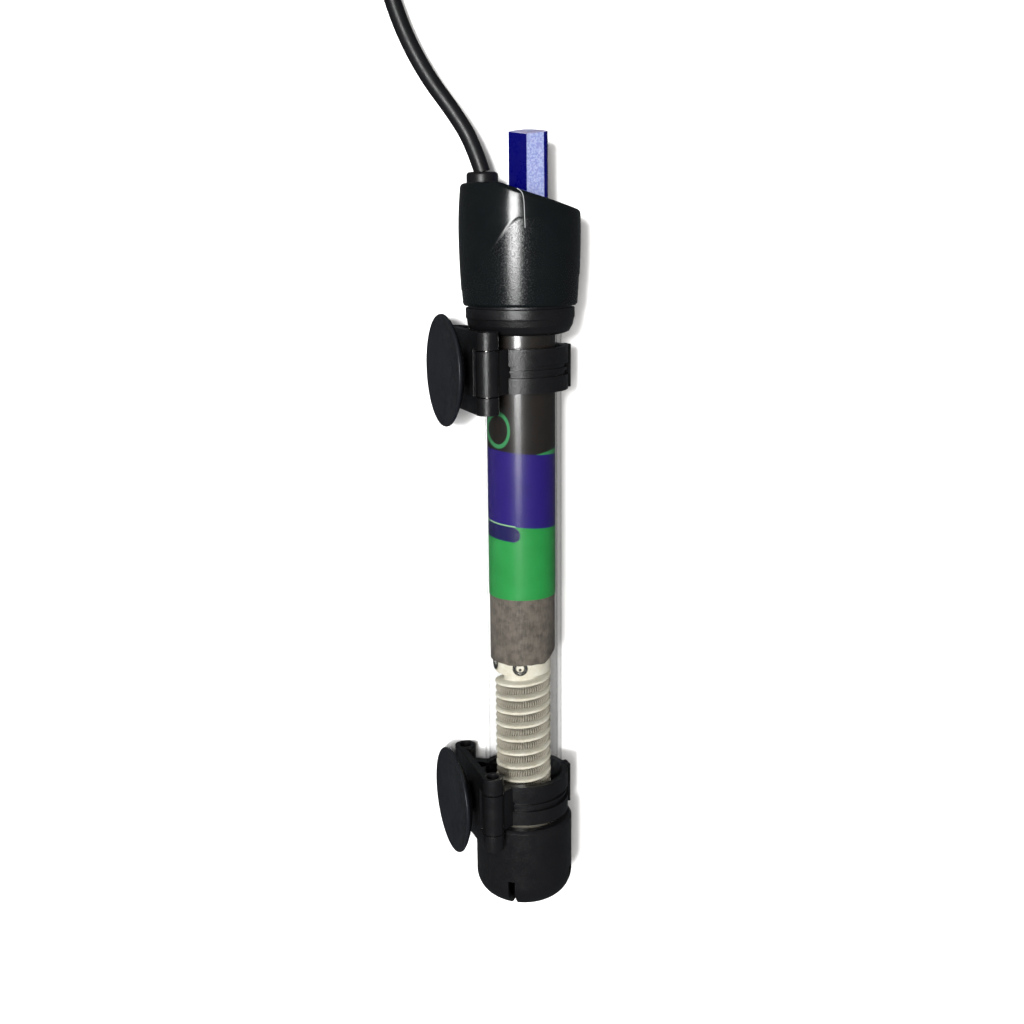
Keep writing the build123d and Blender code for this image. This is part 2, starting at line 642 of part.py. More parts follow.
def jaw(name, middle, side):
    """A half ring with two straps, an end tab, and a knuckle that turns on its hinge pin."""
    bottom = middle - STRAP_HEIGHT / 2
    with BuildPart() as builder:
        strap_part(bottom, 4.2, JAW_OUT_R, side)
        strap_part(bottom + 4.2, 3.2, RECESS_R, side)
        strap_part(bottom + 5.4, 0.8, JAW_OUT_R - 0.4, side)
        strap_part(bottom + 7.4, 4.6, JAW_OUT_R, side)
        with BuildSketch(clamp_plane(bottom)):
            with Locations((-(TAB_REACH + JAW_IN_R + 0.3) / 2, side * (TAB_GAP + TAB_WIDTH) / 2)):
                Rectangle(TAB_REACH - JAW_IN_R - 0.3, TAB_WIDTH)
            Polygon(
                (BARREL_X, side * BARREL_Z),
                (BARREL_X - 1.2, side * (BARREL_Z + 1.6)),
                (JAW_IN_R * 0.60, side * JAW_IN_R * 0.92),
                (JAW_IN_R * 0.80, side * JAW_IN_R * 0.74),
                (BARREL_X - 1.6, side * (BARREL_Z - 2.0)),
                align=None,
            )
            with Locations((BARREL_X, side * BARREL_Z)):
                Circle(BARREL_R)
                Circle(PIN_R + RUNNING, mode=Mode.SUBTRACT)
            Circle(JAW_IN_R, mode=Mode.SUBTRACT)
        extrude(amount=STRAP_HEIGHT)
    finish(builder, name)


def bracket(name, middle):
    """A plate with a saddle against the glass, a socket, and the hinge barrels' outer knuckles."""
    with BuildPart() as builder:
        with BuildSketch(clamp_plane(middle - PLATE_HEIGHT / 2)):
            with Locations(((PLATE_IN + PLATE_OUT) / 2, 0)):
                Rectangle(PLATE_OUT - PLATE_IN, 2 * (BARREL_Z - BARREL_R - APART))
        extrude(amount=PLATE_HEIGHT)
        with BuildSketch(clamp_plane(middle - STRAP_HEIGHT / 2)):
            with Locations((PLATE_IN - 2, 0)):
                Rectangle(6, 2 * SADDLE_HALF)
            Circle(JAW_IN_R, mode=Mode.SUBTRACT)
        extrude(amount=STRAP_HEIGHT)
        for end in (-1, 1):
            low = middle + min(end * KNUCKLE_GAP, end * BARREL_HEIGHT / 2)
            with BuildSketch(clamp_plane(low)):
                with Locations((BARREL_X, BARREL_Z), (BARREL_X, -BARREL_Z)):
                    Circle(BARREL_R)
                with Locations(((PLATE_IN + PLATE_OUT) / 2, 0)):
                    Rectangle(PLATE_OUT - PLATE_IN, 2 * BARREL_Z)
                with Locations((BARREL_X, BARREL_Z), (BARREL_X, -BARREL_Z)):
                    Circle(PIN_R, mode=Mode.SUBTRACT)
            extrude(amount=BARREL_HEIGHT / 2 - KNUCKLE_GAP)
        socket = Plane(
            origin=(TUBE_X - PLATE_OUT - 1, CAP_Y + middle, AXIS_H), x_dir=(0, 1, 0), z_dir=(1, 0, 0)
        )
        with BuildSketch(socket):
            Circle(SOCKET_R)
        extrude(amount=PLATE_OUT + 1 - POCKET_IN, mode=Mode.SUBTRACT)
        with BuildSketch(socket.offset(PLATE_OUT + 1 - POCKET_OUT)):
            Circle(POCKET_R)
        extrude(amount=POCKET_OUT - POCKET_IN, mode=Mode.SUBTRACT)
    finish(builder, name)


def hinge_pins(name, middle):
    """The two pins of one clamp, shorter than the barrels."""
    with BuildPart() as builder:
        with BuildSketch(clamp_plane(middle - PIN_LENGTH / 2)):
            with Locations((BARREL_X, BARREL_Z), (BARREL_X, -BARREL_Z)):
                Circle(PIN_R)
        extrude(amount=PIN_LENGTH)
    finish(builder, name)


def suction_cup(name, middle):
    """A soft cup with a flat rim, and a stud with a bulb that snaps into the bracket."""
    origin = (TUBE_X, CAP_Y + middle, AXIS_H)
    stud_r = SOCKET_R - 0.08
    with BuildPart() as builder:
        with BuildSketch(Plane(origin=origin, x_dir=(-1, 0, 0), z_dir=(0, 0, 1))):
            with BuildLine():
                Polyline(
                    (21.0, 0),
                    (POCKET_IN + APART, 0),
                    (POCKET_IN + APART, 2.6),
                    (POCKET_IN + APART + 0.6, POCKET_R - 0.4),
                    (POCKET_OUT - APART, POCKET_R - 0.4),
                    (POCKET_OUT - APART, stud_r),
                    (PLATE_OUT + APART, stud_r),
                    (PLATE_OUT + APART, 4.6),
                    (18.2, 5.2),
                )
                ThreePointArc((18.2, 5.2), (19.9, 10.8), (22.3, CUP_R))
                Polyline((22.3, CUP_R), (CUP_RIM, CUP_R), (CUP_RIM, 14.2))
                ThreePointArc((CUP_RIM, 14.2), (21.3, 8.6), (20.4, 2.0))
                Polyline((20.4, 2.0), (20.0, 1.4), (20.0, 0), (21.0, 0))
            make_face()
        revolve(axis=Axis(origin, (-1, 0, 0)))
    finish(builder, name)


for place, middle in CLAMP_STATIONS.items():
    bracket(f"{place}_bracket", middle)
    hinge_pins(f"{place}_hinge_pins", middle)
    jaw(f"{place}_front_jaw", middle, 1)
    jaw(f"{place}_rear_jaw", middle, -1)
    suction_cup(f"{place}_suction_cup", middle)


# ---------------------------------------------------------------- mains lead
TIE_WALL = 0.6
COIL_Y = 186.0
COIL_LOW = CORD_R + TIE_WALL  # height of the lower layer's middle
COIL_HIGH = COIL_LOW + 2 * CORD_R
COIL_OUT = 32.8  # from the coil's middle to the outermost turn's
COIL_IN = 17.9
COIL_TOP = COIL_HIGH + CORD_R
TIE_ARC = 16.0  # degrees of the coil that the tie covers
TIE_START = -20.0  # about the coil, from +X
PLUG_TURN = 30.0  # the plug lies across the coil, its pins passing the heater's left
PLUG_THICK = 13.7
PLUG_HEIGHT = COIL_TOP + PLUG_THICK / 2
PLUG_WIDTH = 35.3
RELIEF_LENGTH = 20.0
BODY_LENGTH = 34.0
PIN_SPACING = 18.6
PLUG_PIN_R = 2.0
PLUG_PIN_LENGTH = 19.0

# Both routes are chosen by hand: down from the gland to the table, and from the coil to the plug.
cord_route = [
    head_point(-GLAND_LEFT, 0, GLAND_TOP),
    Vector(-8.5, 108.6, 11.4),
    Vector(-13.3, 116.7, 9.7),
    Vector(-19.7, 125.8, 7.1),
    Vector(-25.2, 137.0, 4.8),
    Vector(-29.4, 150.6, 3.3),
    Vector(-31.8, 168.6, COIL_LOW),
    Vector(-COIL_OUT, COIL_Y, COIL_LOW),
]
tail_route = [
    Vector(-COIL_OUT, COIL_Y, COIL_HIGH),
    Vector(-33.5, 203.0, 6.9),
    Vector(-33.8, 220.0, 5.5),
    Vector(-33.4, 238.0, 4.2),
    Vector(-27.1, 248.9, 3.7),
    Vector(-16.3, 255.1, 5.0),
    Vector(-3.8, 255.1, 7.8),
    Vector(7.0, 248.8, 11.0),
    Vector(13.2, 238.0, 13.9),
    Vector(13.2, 225.5, 15.8),
    Vector(7.2, 215.1, PLUG_HEIGHT),
]


def corner_radii(route):
    """The largest arc that each corner's two runs allow."""
    radii = []
    for before, corner, after in zip(route, route[1:], route[2:]):
        half_turn = radians((corner - before).get_angle(after - corner)) / 2
        shorter = min((corner - before).length, (after - corner).length)
        radii.append(0.45 * shorter / tan(half_turn))
    return radii


def cord_tube(name, route):
    """A round cord along straight runs joined by tangent arcs."""
    radii = corner_radii(route)
    with BuildPart() as builder:
        with BuildLine() as line:
            FilletPolyline(*route, radius=radii)
        with BuildSketch(Plane(origin=route[0], z_dir=route[1] - route[0])):
            Circle(CORD_R)
        sweep()
    finish(builder, name)
    length = sum(edge.length for edge in line.line.edges())
    print(f"{name}: radii {[round(r, 1) for r in radii]}, length {length:.1f}")
    print(f"  volume {builder.part.volume:.0f}, section times length {pi * CORD_R**2 * length:.0f}")
    return builder.part


cord_runs = [cord_tube("mains_cord", cord_route), cord_tube("cord_tail", tail_route)]

COIL_AXIS = Axis((0, COIL_Y, 0), (0, 0, 1))
coil_profile = Plane(origin=(0, COIL_Y, 0), x_dir=(1, 0, 0), z_dir=(0, -1, 0))
coil_middle = ((COIL_IN + COIL_OUT) / 2, (COIL_LOW + COIL_HIGH) / 2)
coil_size = (COIL_OUT - COIL_IN + 2 * CORD_R, COIL_HIGH - COIL_LOW + 2 * CORD_R)
with BuildPart() as cord_coil:
    with BuildSketch(coil_profile):
        with Locations(coil_middle):
            RectangleRounded(*coil_size, CORD_R - 0.1)
    revolve(axis=COIL_AXIS)
    for run in cord_runs:
        add(run, mode=Mode.SUBTRACT)
finish(cord_coil, "cord_coil")

tie_turn = radians(TIE_START)
tie_profile = Plane(
    origin=(0, COIL_Y, 0),
    x_dir=(cos(tie_turn), sin(tie_turn), 0),
    z_dir=(sin(tie_turn), -cos(tie_turn), 0),
)
tie_size = (coil_size[0] + 2 * TIE_WALL, coil_size[1] + 2 * TIE_WALL)
with BuildPart() as coil_tie:
    with BuildSketch(tie_profile):
        with Locations(coil_middle):
            RectangleRounded(*tie_size, CORD_R + TIE_WALL - 0.1)
            RectangleRounded(*coil_size, CORD_R - 0.1, mode=Mode.SUBTRACT)
    revolve(axis=COIL_AXIS, revolution_arc=TIE_ARC)
finish(coil_tie, "coil_tie")

RELIEF_THIN = CORD_R + 0.7
RELIEF_THICK = 4.8
relief_start = tail_route[-1]
plug_ahead = Vector(-sin(radians(PLUG_TURN)), -cos(radians(PLUG_TURN)), 0)
plug_side = Vector(-cos(radians(PLUG_TURN)), sin(radians(PLUG_TURN)), 0)
plug_axis = Axis(relief_start, plug_ahead)
plug_plane = Plane(origin=relief_start, x_dir=plug_side, z_dir=(0, 0, 1))
with BuildPart() as plug_relief:
    with BuildSketch(plug_plane):
        Polygon(
            (0, 0),
            (RELIEF_THIN, 0),
            (RELIEF_THICK, RELIEF_LENGTH),
            (0, RELIEF_LENGTH),
            align=None,
        )
    revolve(axis=plug_axis)
finish(plug_relief, "plug_relief")

PLUG_OUTLINE = (  # half width and distance from the body's cord end
    (7.0, 0),
    (PLUG_WIDTH / 2 - 5.5, 6),
    (PLUG_WIDTH / 2 - 4.5, 18),
    (PLUG_WIDTH / 2, 24),
    (PLUG_WIDTH / 2, BODY_LENGTH),
)
body_plane = plug_plane * Pos(0, RELIEF_LENGTH, -PLUG_THICK / 2)
with BuildPart() as plug_body:
    with BuildSketch(body_plane):
        with BuildLine():
            Polyline((0, 0), *PLUG_OUTLINE, (0, BODY_LENGTH))
            mirror(about=Plane.YZ)
        make_face()
    extrude(amount=PLUG_THICK)
    fillet(edges().filter_by(Axis.Z), 1.5)
    fillet(edges().group_by(Axis.Z)[0] + edges().group_by(Axis.Z)[-1], 1.2)
finish(plug_body, "plug_body")

pins_start = relief_start + plug_ahead * (RELIEF_LENGTH + BODY_LENGTH)
pin_plane = Plane(origin=pins_start, x_dir=plug_side, z_dir=plug_ahead)
with BuildPart() as plug_pins:
    with BuildSketch(pin_plane):
        with GridLocations(PIN_SPACING, 0, 2, 1):
            Circle(PLUG_PIN_R)
    extrude(amount=PLUG_PIN_LENGTH)
    chamfer(edges().group_by(plug_axis)[-1], 0.7)
finish(plug_pins, "plug_pins")

print(len(PIECES), "pieces")
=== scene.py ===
import json
from math import cos, pi, radians, sin, sqrt, tan, tau

import bmesh
import bpy
from mathutils import Matrix, Vector

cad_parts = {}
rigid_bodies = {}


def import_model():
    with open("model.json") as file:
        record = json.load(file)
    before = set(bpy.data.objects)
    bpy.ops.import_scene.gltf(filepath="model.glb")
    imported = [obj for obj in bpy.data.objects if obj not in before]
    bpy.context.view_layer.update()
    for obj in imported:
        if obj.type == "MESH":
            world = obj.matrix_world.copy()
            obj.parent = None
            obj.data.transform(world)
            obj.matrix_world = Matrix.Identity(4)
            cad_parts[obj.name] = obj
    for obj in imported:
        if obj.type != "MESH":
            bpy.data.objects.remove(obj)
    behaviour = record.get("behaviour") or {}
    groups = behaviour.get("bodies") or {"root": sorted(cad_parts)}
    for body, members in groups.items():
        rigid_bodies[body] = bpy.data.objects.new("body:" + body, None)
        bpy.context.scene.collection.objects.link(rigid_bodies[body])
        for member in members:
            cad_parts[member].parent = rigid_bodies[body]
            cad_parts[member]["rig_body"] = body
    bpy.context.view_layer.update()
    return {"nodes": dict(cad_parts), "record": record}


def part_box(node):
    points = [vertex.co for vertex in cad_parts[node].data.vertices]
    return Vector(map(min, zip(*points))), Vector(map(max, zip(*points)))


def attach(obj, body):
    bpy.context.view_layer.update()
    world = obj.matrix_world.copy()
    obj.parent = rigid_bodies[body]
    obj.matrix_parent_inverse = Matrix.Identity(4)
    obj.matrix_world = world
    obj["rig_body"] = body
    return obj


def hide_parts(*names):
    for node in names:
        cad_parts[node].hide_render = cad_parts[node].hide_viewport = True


# A submersible aquarium heater lying on a pale table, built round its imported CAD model.
# Blender's lengths are metres. Lengths written here are millimetres unless they say otherwise.
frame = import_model()

# ---------------------------------------------------------------- the object's own directions
MM = 0.001
glass_low, glass_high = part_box("glass_tube")
TUBE_X = (glass_low[0] + glass_high[0]) / 2 / MM
AXIS_H = (glass_low[2] + glass_high[2]) / 2 / MM
CAP_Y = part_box("guard_cap")[0][1] / MM
HEAD_TURN = radians(20)
RIGHT = Vector((cos(HEAD_TURN), 0, sin(HEAD_TURN)))
FRONT = Vector((-sin(HEAD_TURN), 0, cos(HEAD_TURN)))
ALONG = Vector((0, 1, 0))
TO_CUPS = Vector((-1, 0, 0))


def spot(right, front, station):
    """A point in metres, from the head's right and front and the distance from the cap's end."""
    return (Vector((TUBE_X, CAP_Y + station, AXIS_H)) + RIGHT * right + FRONT * front) * MM


def smooth_step(value):
    """0 below 0, 1 above 1, and an even curve between."""
    value = min(max(value, 0.0), 1.0)
    return value * value * (3 - 2 * value)


# ---------------------------------------------------------------- camera
PHOTO_LENS = 43.95  # millimetres on a 36 mm sensor
CAMERA_RISE = radians(12.7)  # towards the head
CAMERA_ROLL = radians(-0.54)
CAMERA_REACH = 358.8
AIM_STATION = 118.5
CAMERA_LEFT = 2.78

to_camera = FRONT * cos(CAMERA_RISE) + ALONG * sin(CAMERA_RISE)
level_up = RIGHT.cross(-to_camera)
picture_right = RIGHT * cos(CAMERA_ROLL) + level_up * sin(CAMERA_ROLL)
picture_up = level_up * cos(CAMERA_ROLL) - RIGHT * sin(CAMERA_ROLL)
camera_data = bpy.data.cameras.new("camera")
camera_data.lens = PHOTO_LENS
camera_data.clip_start = 0.01
camera = bpy.data.objects.new("camera", camera_data)
camera_spot = spot(-CAMERA_LEFT, 0, AIM_STATION) + to_camera * CAMERA_REACH * MM
turned = Matrix((picture_right, picture_up, to_camera)).transposed().to_4x4()
camera.matrix_world = Matrix.Translation(camera_spot) @ turned
bpy.context.collection.objects.link(camera)
bpy.context.scene.camera = camera


# ---------------------------------------------------------------- lights
def area_light(name, where, aim, up, size, radiance):
    """A rectangular lamp of an even radiance, with its long side along the given direction."""
    lamp = bpy.data.lights.new(name, "AREA")
    lamp.shape = "RECTANGLE"
    lamp.size, lamp.size_y = size
    lamp.energy = radiance * pi * size[0] * size[1]
    lamp_object = bpy.data.objects.new(name, lamp)
    back = (where - aim).normalized()
    side = up.cross(back).normalized()
    axes = Matrix((side, back.cross(side), back)).transposed().to_4x4()
    lamp_object.matrix_world = Matrix.Translation(where) @ axes
    bpy.context.collection.objects.link(lamp_object)
    return lamp_object


# Lamps are placed in metres.
KEY_TURN = radians(9.5)  # about the tube, left of the camera
KEY_DISTANCE = 0.55
KEY_WIDTH = 0.15
KEY_STRIPS = (  # name, lower and upper end, radiance: the highlights fade down the glass
    ("key", 0.03, 0.21, 32.0),
    ("key_middle", -0.02, 0.03, 13.0),
    ("key_low", -0.08, -0.02, 3.6),
    ("key_foot", -0.13, -0.08, 1.2),
)
FILL_HEIGHT = 0.7
FILL_SIDE = 0.9
FILL_RADIANCE = 1.05
SHADOW_LAMP_AT = Vector((-0.8, 0.28, 1.42))
SHADOW_LAMP_SIDE = 0.16
SHADOW_LAMP_RADIANCE = 480.0
ROOM_LIGHT = 0.08
light_aim = Vector((0, 0, 0.015))
to_key = FRONT * cos(KEY_TURN) - RIGHT * sin(KEY_TURN)
for lamp_name, low_end, high_end, radiance in KEY_STRIPS:
    lamp_aim = light_aim + ALONG * (low_end + high_end) / 2
    size = (KEY_WIDTH, high_end - low_end)
    area_light(lamp_name, lamp_aim + to_key * KEY_DISTANCE, lamp_aim, ALONG, size, radiance)
# two lamps that give no highlights: a wide soft one, and a small one for the narrow shadows
fill_size = (FILL_SIDE, FILL_SIDE)
fill = area_light("fill", Vector((0, 0, FILL_HEIGHT)), light_aim, ALONG, fill_size, FILL_RADIANCE)
fill.data.color = (1.0, 0.96, 0.92)
shadow_lamp = area_light(
    "shadow_lamp",
    SHADOW_LAMP_AT,
    light_aim,
    ALONG,
    (SHADOW_LAMP_SIDE, SHADOW_LAMP_SIDE),
    SHADOW_LAMP_RADIANCE,
)
for lamp in (fill, shadow_lamp):
    lamp.visible_glossy = False

# a dim room that lights the object, and a pale backdrop behind the table
world = bpy.data.worlds.new("studio")
world.use_nodes = True
sky = world.node_tree
room = sky.nodes["Background"]
room.inputs["Color"].default_value = (0.88, 0.94, 1.0, 1)
room.inputs["Strength"].default_value = ROOM_LIGHT
backdrop = sky.nodes.new("ShaderNodeBackground")
backdrop.inputs["Color"].default_value = (0.93, 0.93, 0.93, 1)
seen = sky.nodes.new("ShaderNodeLightPath")
either = sky.nodes.new("ShaderNodeMixShader")
sky.links.new(seen.outputs["Is Camera Ray"], either.inputs[0])
sky.links.new(room.outputs[0], either.inputs[1])
sky.links.new(backdrop.outputs[0], either.inputs[2])
sky.links.new(either.outputs[0], sky.nodes["World Output"].inputs["Surface"])
bpy.context.scene.world = world
bpy.context.scene.view_settings.view_transform = "Standard"


# ---------------------------------------------------------------- how materials are made
class Finish:
    """One node material: a Principled shader and what drives it."""

    def __init__(self, name, **settings):
        self.material = bpy.data.materials.new(name)
        self.material.use_nodes = True
        self.tree = self.material.node_tree
        self.shader = self.tree.nodes["Principled BSDF"]
        for socket, value in settings.items():
            self.set(socket.replace("_", " ").title().replace("Ior", "IOR"), value)
        self.place = self.add("TexCoord").outputs["Object"]

    def add(self, kind, inputs=(), **settings):
        """A new node, with its settings and its inputs, which are sockets or numbers."""
        node = self.tree.nodes.new("ShaderNode" + kind)
        for setting, value in settings.items():
            setattr(node, setting, value)
        for socket, value in dict(inputs).items():
            self.feed(node.inputs[socket], value)
        return node

    def feed(self, socket, value):
        """Link or set one socket."""
        if isinstance(value, bpy.types.NodeSocket):
            self.tree.links.new(value, socket)
        else:
            socket.default_value = value

    def set(self, socket, value):
        """Link or set one of the shader's own sockets."""
        self.feed(self.shader.inputs[socket], value)

    def value(self, operation, first, second=0.0, third=0.0):
        """The result of a Math operation on one, two or three numbers."""
        inputs = {0: first, 1: second, 2: third}
        return self.add("Math", inputs, operation=operation).outputs[0]

    def distance(self, first, second):
        """The length of a line with these two runs."""
        squares = self.value("MULTIPLY_ADD", first, first, self.value("MULTIPLY", second, second))
        return self.value("SQRT", squares)

    def noise(self, size, detail=3.0, stretch=(1, 1, 1)):
        """Noise from 0 to 1 whose lumps are about size millimetres across."""
        scale = tuple(1 / (size * MM * part) for part in stretch)
        lines = self.add("Mapping", {"Vector": self.place, "Scale": scale})
        inputs = {"Vector": lines.outputs[0], "Scale": 1.0, "Detail": detail, "Roughness": 0.6}
        return self.add("TexNoise", inputs).outputs[0]

    def spread(self, value, low, high, to_low=0.0, to_high=1.0):
        """A number's range taken smoothly to another range."""
        inputs = {"Value": value, 1: low, 2: high, 3: to_low, 4: to_high}
        return self.add("MapRange", inputs, interpolation_type="SMOOTHSTEP").outputs[0]

    def blend(self, share, first, second):
        """A colour between two colours."""
        node = self.add("Mix", {0: share}, data_type="RGBA")
        self.feed(node.inputs[6], first)
        self.feed(node.inputs[7], second)
        return node.outputs[2]

    def bump(self, height, depth, strength=1.0):
        """Relief of the given depth in millimetres; calls add up."""
        inputs = {"Height": height, "Distance": depth * MM, "Strength": strength}
        under = self.shader.inputs["Normal"]
        if under.is_linked:
            inputs["Normal"] = under.links[0].from_socket
        self.set("Normal", self.add("Bump", inputs).outputs[0])

    def along(self, direction, offset=0.0):
        """The place along a direction, in millimetres, less an offset."""
        dot = self.add("VectorMath", {0: self.place, 1: tuple(direction)}, operation="DOT_PRODUCT")
        return self.value("MULTIPLY_ADD", dot.outputs["Value"], 1 / MM, -offset)


LIGHT_LEVEL = 2.2  # how much brighter than itself a white surface looks here


def rgb(red, green, blue):
    """The colour that shows as these 0-255 display values under this light."""
    return tuple((part / 255) ** 2.2 / LIGHT_LEVEL for part in (red, green, blue)) + (1.0,)


def moulded(name, dark, light, rough, grain=0.3, depth=0.01, slow=9.0, **settings):
    """Plastic or rubber: slow colour drift, a fine grain, and roughness that wanders."""
    finish = Finish(name, **settings)
    finish.set("Base Color", finish.blend(finish.noise(slow), dark, light))
    finish.set("Roughness", finish.spread(finish.noise(slow / 3), 0.3, 0.7, *rough))
    finish.bump(finish.noise(grain, detail=2), depth)
    return finish


def metal(name, dark, light, rough):
    """Drawn or brushed metal, with lines along the tube's direction."""
    finish = Finish(name, metallic=1.0)
    lines = finish.noise(0.12, detail=4, stretch=(1, 12, 1))
    finish.set("Base Color", finish.blend(finish.noise(3.0), dark, light))
    finish.set("Roughness", finish.spread(lines, 0.3, 0.7, *rough))
    finish.bump(lines, 0.004)
    return finish


# ---------------------------------------------------------------- materials
def cord_finish():
    """Glossy black PVC with faint lengthways drawing marks."""
    dark = (0.002, 0.002, 0.0025, 1)
    light = (0.004, 0.004, 0.0045, 1)
    finish = moulded("cord_pvc", dark, light, (0.36, 0.46), 0.6, 0.006)
    finish.bump(finish.noise(2.5, detail=1), 0.03)
    return finish


def head_finish():
    """Glossy near-black above the arch and finely textured below it."""
    finish = Finish("head_plastic", specular_ior_level=0.5)
    panel = finish.add("Attribute", attribute_name="panel").outputs["Fac"]
    body = finish.blend(finish.noise(7.0), (0.0016, 0.002, 0.0024, 1), (0.003, 0.0042, 0.0044, 1))
    finish.set("Base Color", body)
    grain = finish.noise(0.4, detail=3)
    rough_flank = finish.spread(grain, 0.3, 0.7, 0.14, 0.3)
    gloss = finish.spread(finish.noise(5.0), 0.3, 0.7, 0.16, 0.21)
    mix = finish.add("Mix", {0: panel, 2: gloss, 3: rough_flank}, data_type="FLOAT")
    finish.set("Roughness", mix.outputs[0])
    finish.bump(finish.value("MULTIPLY", grain, panel), 0.03)
    finish.bump(finish.noise(3.5, detail=1), 0.02)
    return finish


def knob_finish():
    """Deep blue, clear enough to look lit, with faint flow marks."""
    finish = Finish("knob_blue", specular_ior_level=0.3)
    flow = finish.noise(9.0, detail=2, stretch=(1, 3, 1))
    finish.set("Base Color", finish.blend(flow, rgb(6, 6, 94), rgb(9, 9, 106)))
    finish.set("Roughness", finish.spread(finish.noise(5.0), 0.3, 0.7, 0.24, 0.36))
    finish.bump(finish.noise(0.3, detail=2), 0.002)
    return finish


def sanded_painted_light_finish(name, dark, light, depth):
    """The knob's sanded faces, painted pale blue with speckles: a painted highlight for the light they
    catch.
    """
    finish = Finish(name, subsurface_weight=0.1, subsurface_scale=0.001)
    grain = finish.noise(0.55, detail=4)
    speckle = finish.spread(grain, 0.38, 0.64)
    finish.set("Base Color", finish.blend(speckle, dark, light))
    finish.set("Roughness", finish.spread(finish.noise(1.0), 0.3, 0.7, 0.5, 0.68))
    finish.bump(grain, depth)
    return finish


PRINT_TILT = 0.10  # the printed sheet was rolled a little askew
INDIGO_TOP = 137.0
INDIGO_BOTTOM = 116.0
OVAL_RIGHT = -6.5
OVAL_STATION = 143.4
OVAL_HALF_WIDTH = 3.0
OVAL_HALF_HEIGHT = 4.6
WEDGE_START = 4.0
WEDGE_SLOPE = 0.27
PALE_LINE_END = -1.6
PILL_STATION = 113.7
PILL_HALF = 2.2
PILL_END = -0.5


def label_oval(finish, right, station):
    """How much of a point is on the oval outline."""
    across = finish.value("MULTIPLY_ADD", right, 1 / OVAL_HALF_WIDTH, -OVAL_RIGHT / OVAL_HALF_WIDTH)
    up = finish.value("MULTIPLY_ADD", station, 1 / OVAL_HALF_HEIGHT, -OVAL_STATION / OVAL_HALF_HEIGHT)
    off_line = finish.value("ABSOLUTE", finish.value("SUBTRACT", finish.distance(across, up), 1.0))
    return finish.spread(off_line, 0.15, 0.1)


def label_wedge(finish, right, height):
    """How much of a point is on the wedge along the black band's lower edge."""
    rise = finish.value("MULTIPLY_ADD", right, WEDGE_SLOPE, INDIGO_TOP - WEDGE_SLOPE * WEDGE_START)
    over_edge = finish.spread(height, INDIGO_TOP - 0.06, INDIGO_TOP + 0.06)
    under_rise = finish.spread(finish.value("SUBTRACT", rise, height), -0.06, 0.06)
    return finish.value("MULTIPLY", over_edge, under_rise)


def label_pale_line(finish, right, height):
    """How much of a point is on the line between indigo and green, on the left half."""
    edge = finish.value("ABSOLUTE", finish.value("SUBTRACT", height, INDIGO_BOTTOM))
    on_left = finish.spread(right, PALE_LINE_END, PALE_LINE_END - 0.6)
    return finish.value("MULTIPLY", finish.spread(edge, 0.34, 0.22), on_left)


def label_pill(finish, right, height):
    """How much of a point is on the pill, open to the left and round at its right end."""
    over = finish.value("MAXIMUM", finish.value("SUBTRACT", right, PILL_END - PILL_HALF), 0.0)
    beside = finish.value("SUBTRACT", height, PILL_STATION)
    return finish.spread(finish.distance(over, beside), PILL_HALF + 0.1, PILL_HALF - 0.1)


def label_finish():
    """The printed sheet: black, indigo and green bands with plain shapes and no lettering."""
    finish = Finish("label_film", specular_ior_level=0.35)
    station = finish.along(ALONG, CAP_Y)
    right = finish.along(RIGHT, TUBE_X * RIGHT.x + AXIS_H * RIGHT.z)
    front = finish.along(FRONT, TUBE_X * FRONT.x + AXIS_H * FRONT.z)
    facing = finish.spread(front, 0.0, 1.0)
    height = finish.value("MULTIPLY_ADD", right, PRINT_TILT, station)
    drift = finish.noise(6.0, detail=4)
    weave = finish.noise(0.35, detail=2)
    black = finish.blend(drift, rgb(30, 26, 24), rgb(42, 36, 30))
    indigo = finish.blend(drift, rgb(34, 14, 110), rgb(46, 20, 134))
    green = finish.blend(drift, rgb(34, 146, 62), rgb(48, 172, 84))
    over_indigo = finish.spread(height, INDIGO_TOP - 0.12, INDIGO_TOP + 0.12)
    over_green = finish.spread(height, INDIGO_BOTTOM - 0.12, INDIGO_BOTTOM + 0.12)
    colour = finish.blend(over_green, green, finish.blend(over_indigo, indigo, black))
    for share, ink in (
        (label_oval(finish, right, station), rgb(62, 150, 92)),
        (label_wedge(finish, right, height), rgb(60, 156, 92)),
        (label_pale_line(finish, right, height), rgb(150, 205, 150)),
        (label_pill(finish, right, height), rgb(30, 26, 92)),
    ):
        colour = finish.blend(finish.value("MULTIPLY", share, facing), colour, ink)
    finish.set("Base Color", colour)
    finish.set("Roughness", finish.spread(weave, 0.3, 0.7, 0.42, 0.56))
    finish.bump(weave, 0.008)
    return finish


def fibre_finish():
    """A mottled grey-brown fibre tube with faint lengthways streaks."""
    finish = Finish("fibre_sleeve", specular_ior_level=0.2)
    blotch = finish.spread(finish.noise(2.2, detail=6), 0.34, 0.66)
    streak = finish.noise(0.4, detail=4, stretch=(1, 9, 1))
    colour = finish.blend(blotch, rgb(92, 86, 79), rgb(122, 114, 105))
    colour = finish.blend(finish.spread(streak, 0.45, 0.75, 0.0, 0.35), colour, rgb(150, 143, 132))
    finish.set("Base Color", colour)
    finish.set("Roughness", finish.spread(blotch, 0.0, 1.0, 0.7, 0.9))
    finish.bump(streak, 0.06)
    return finish


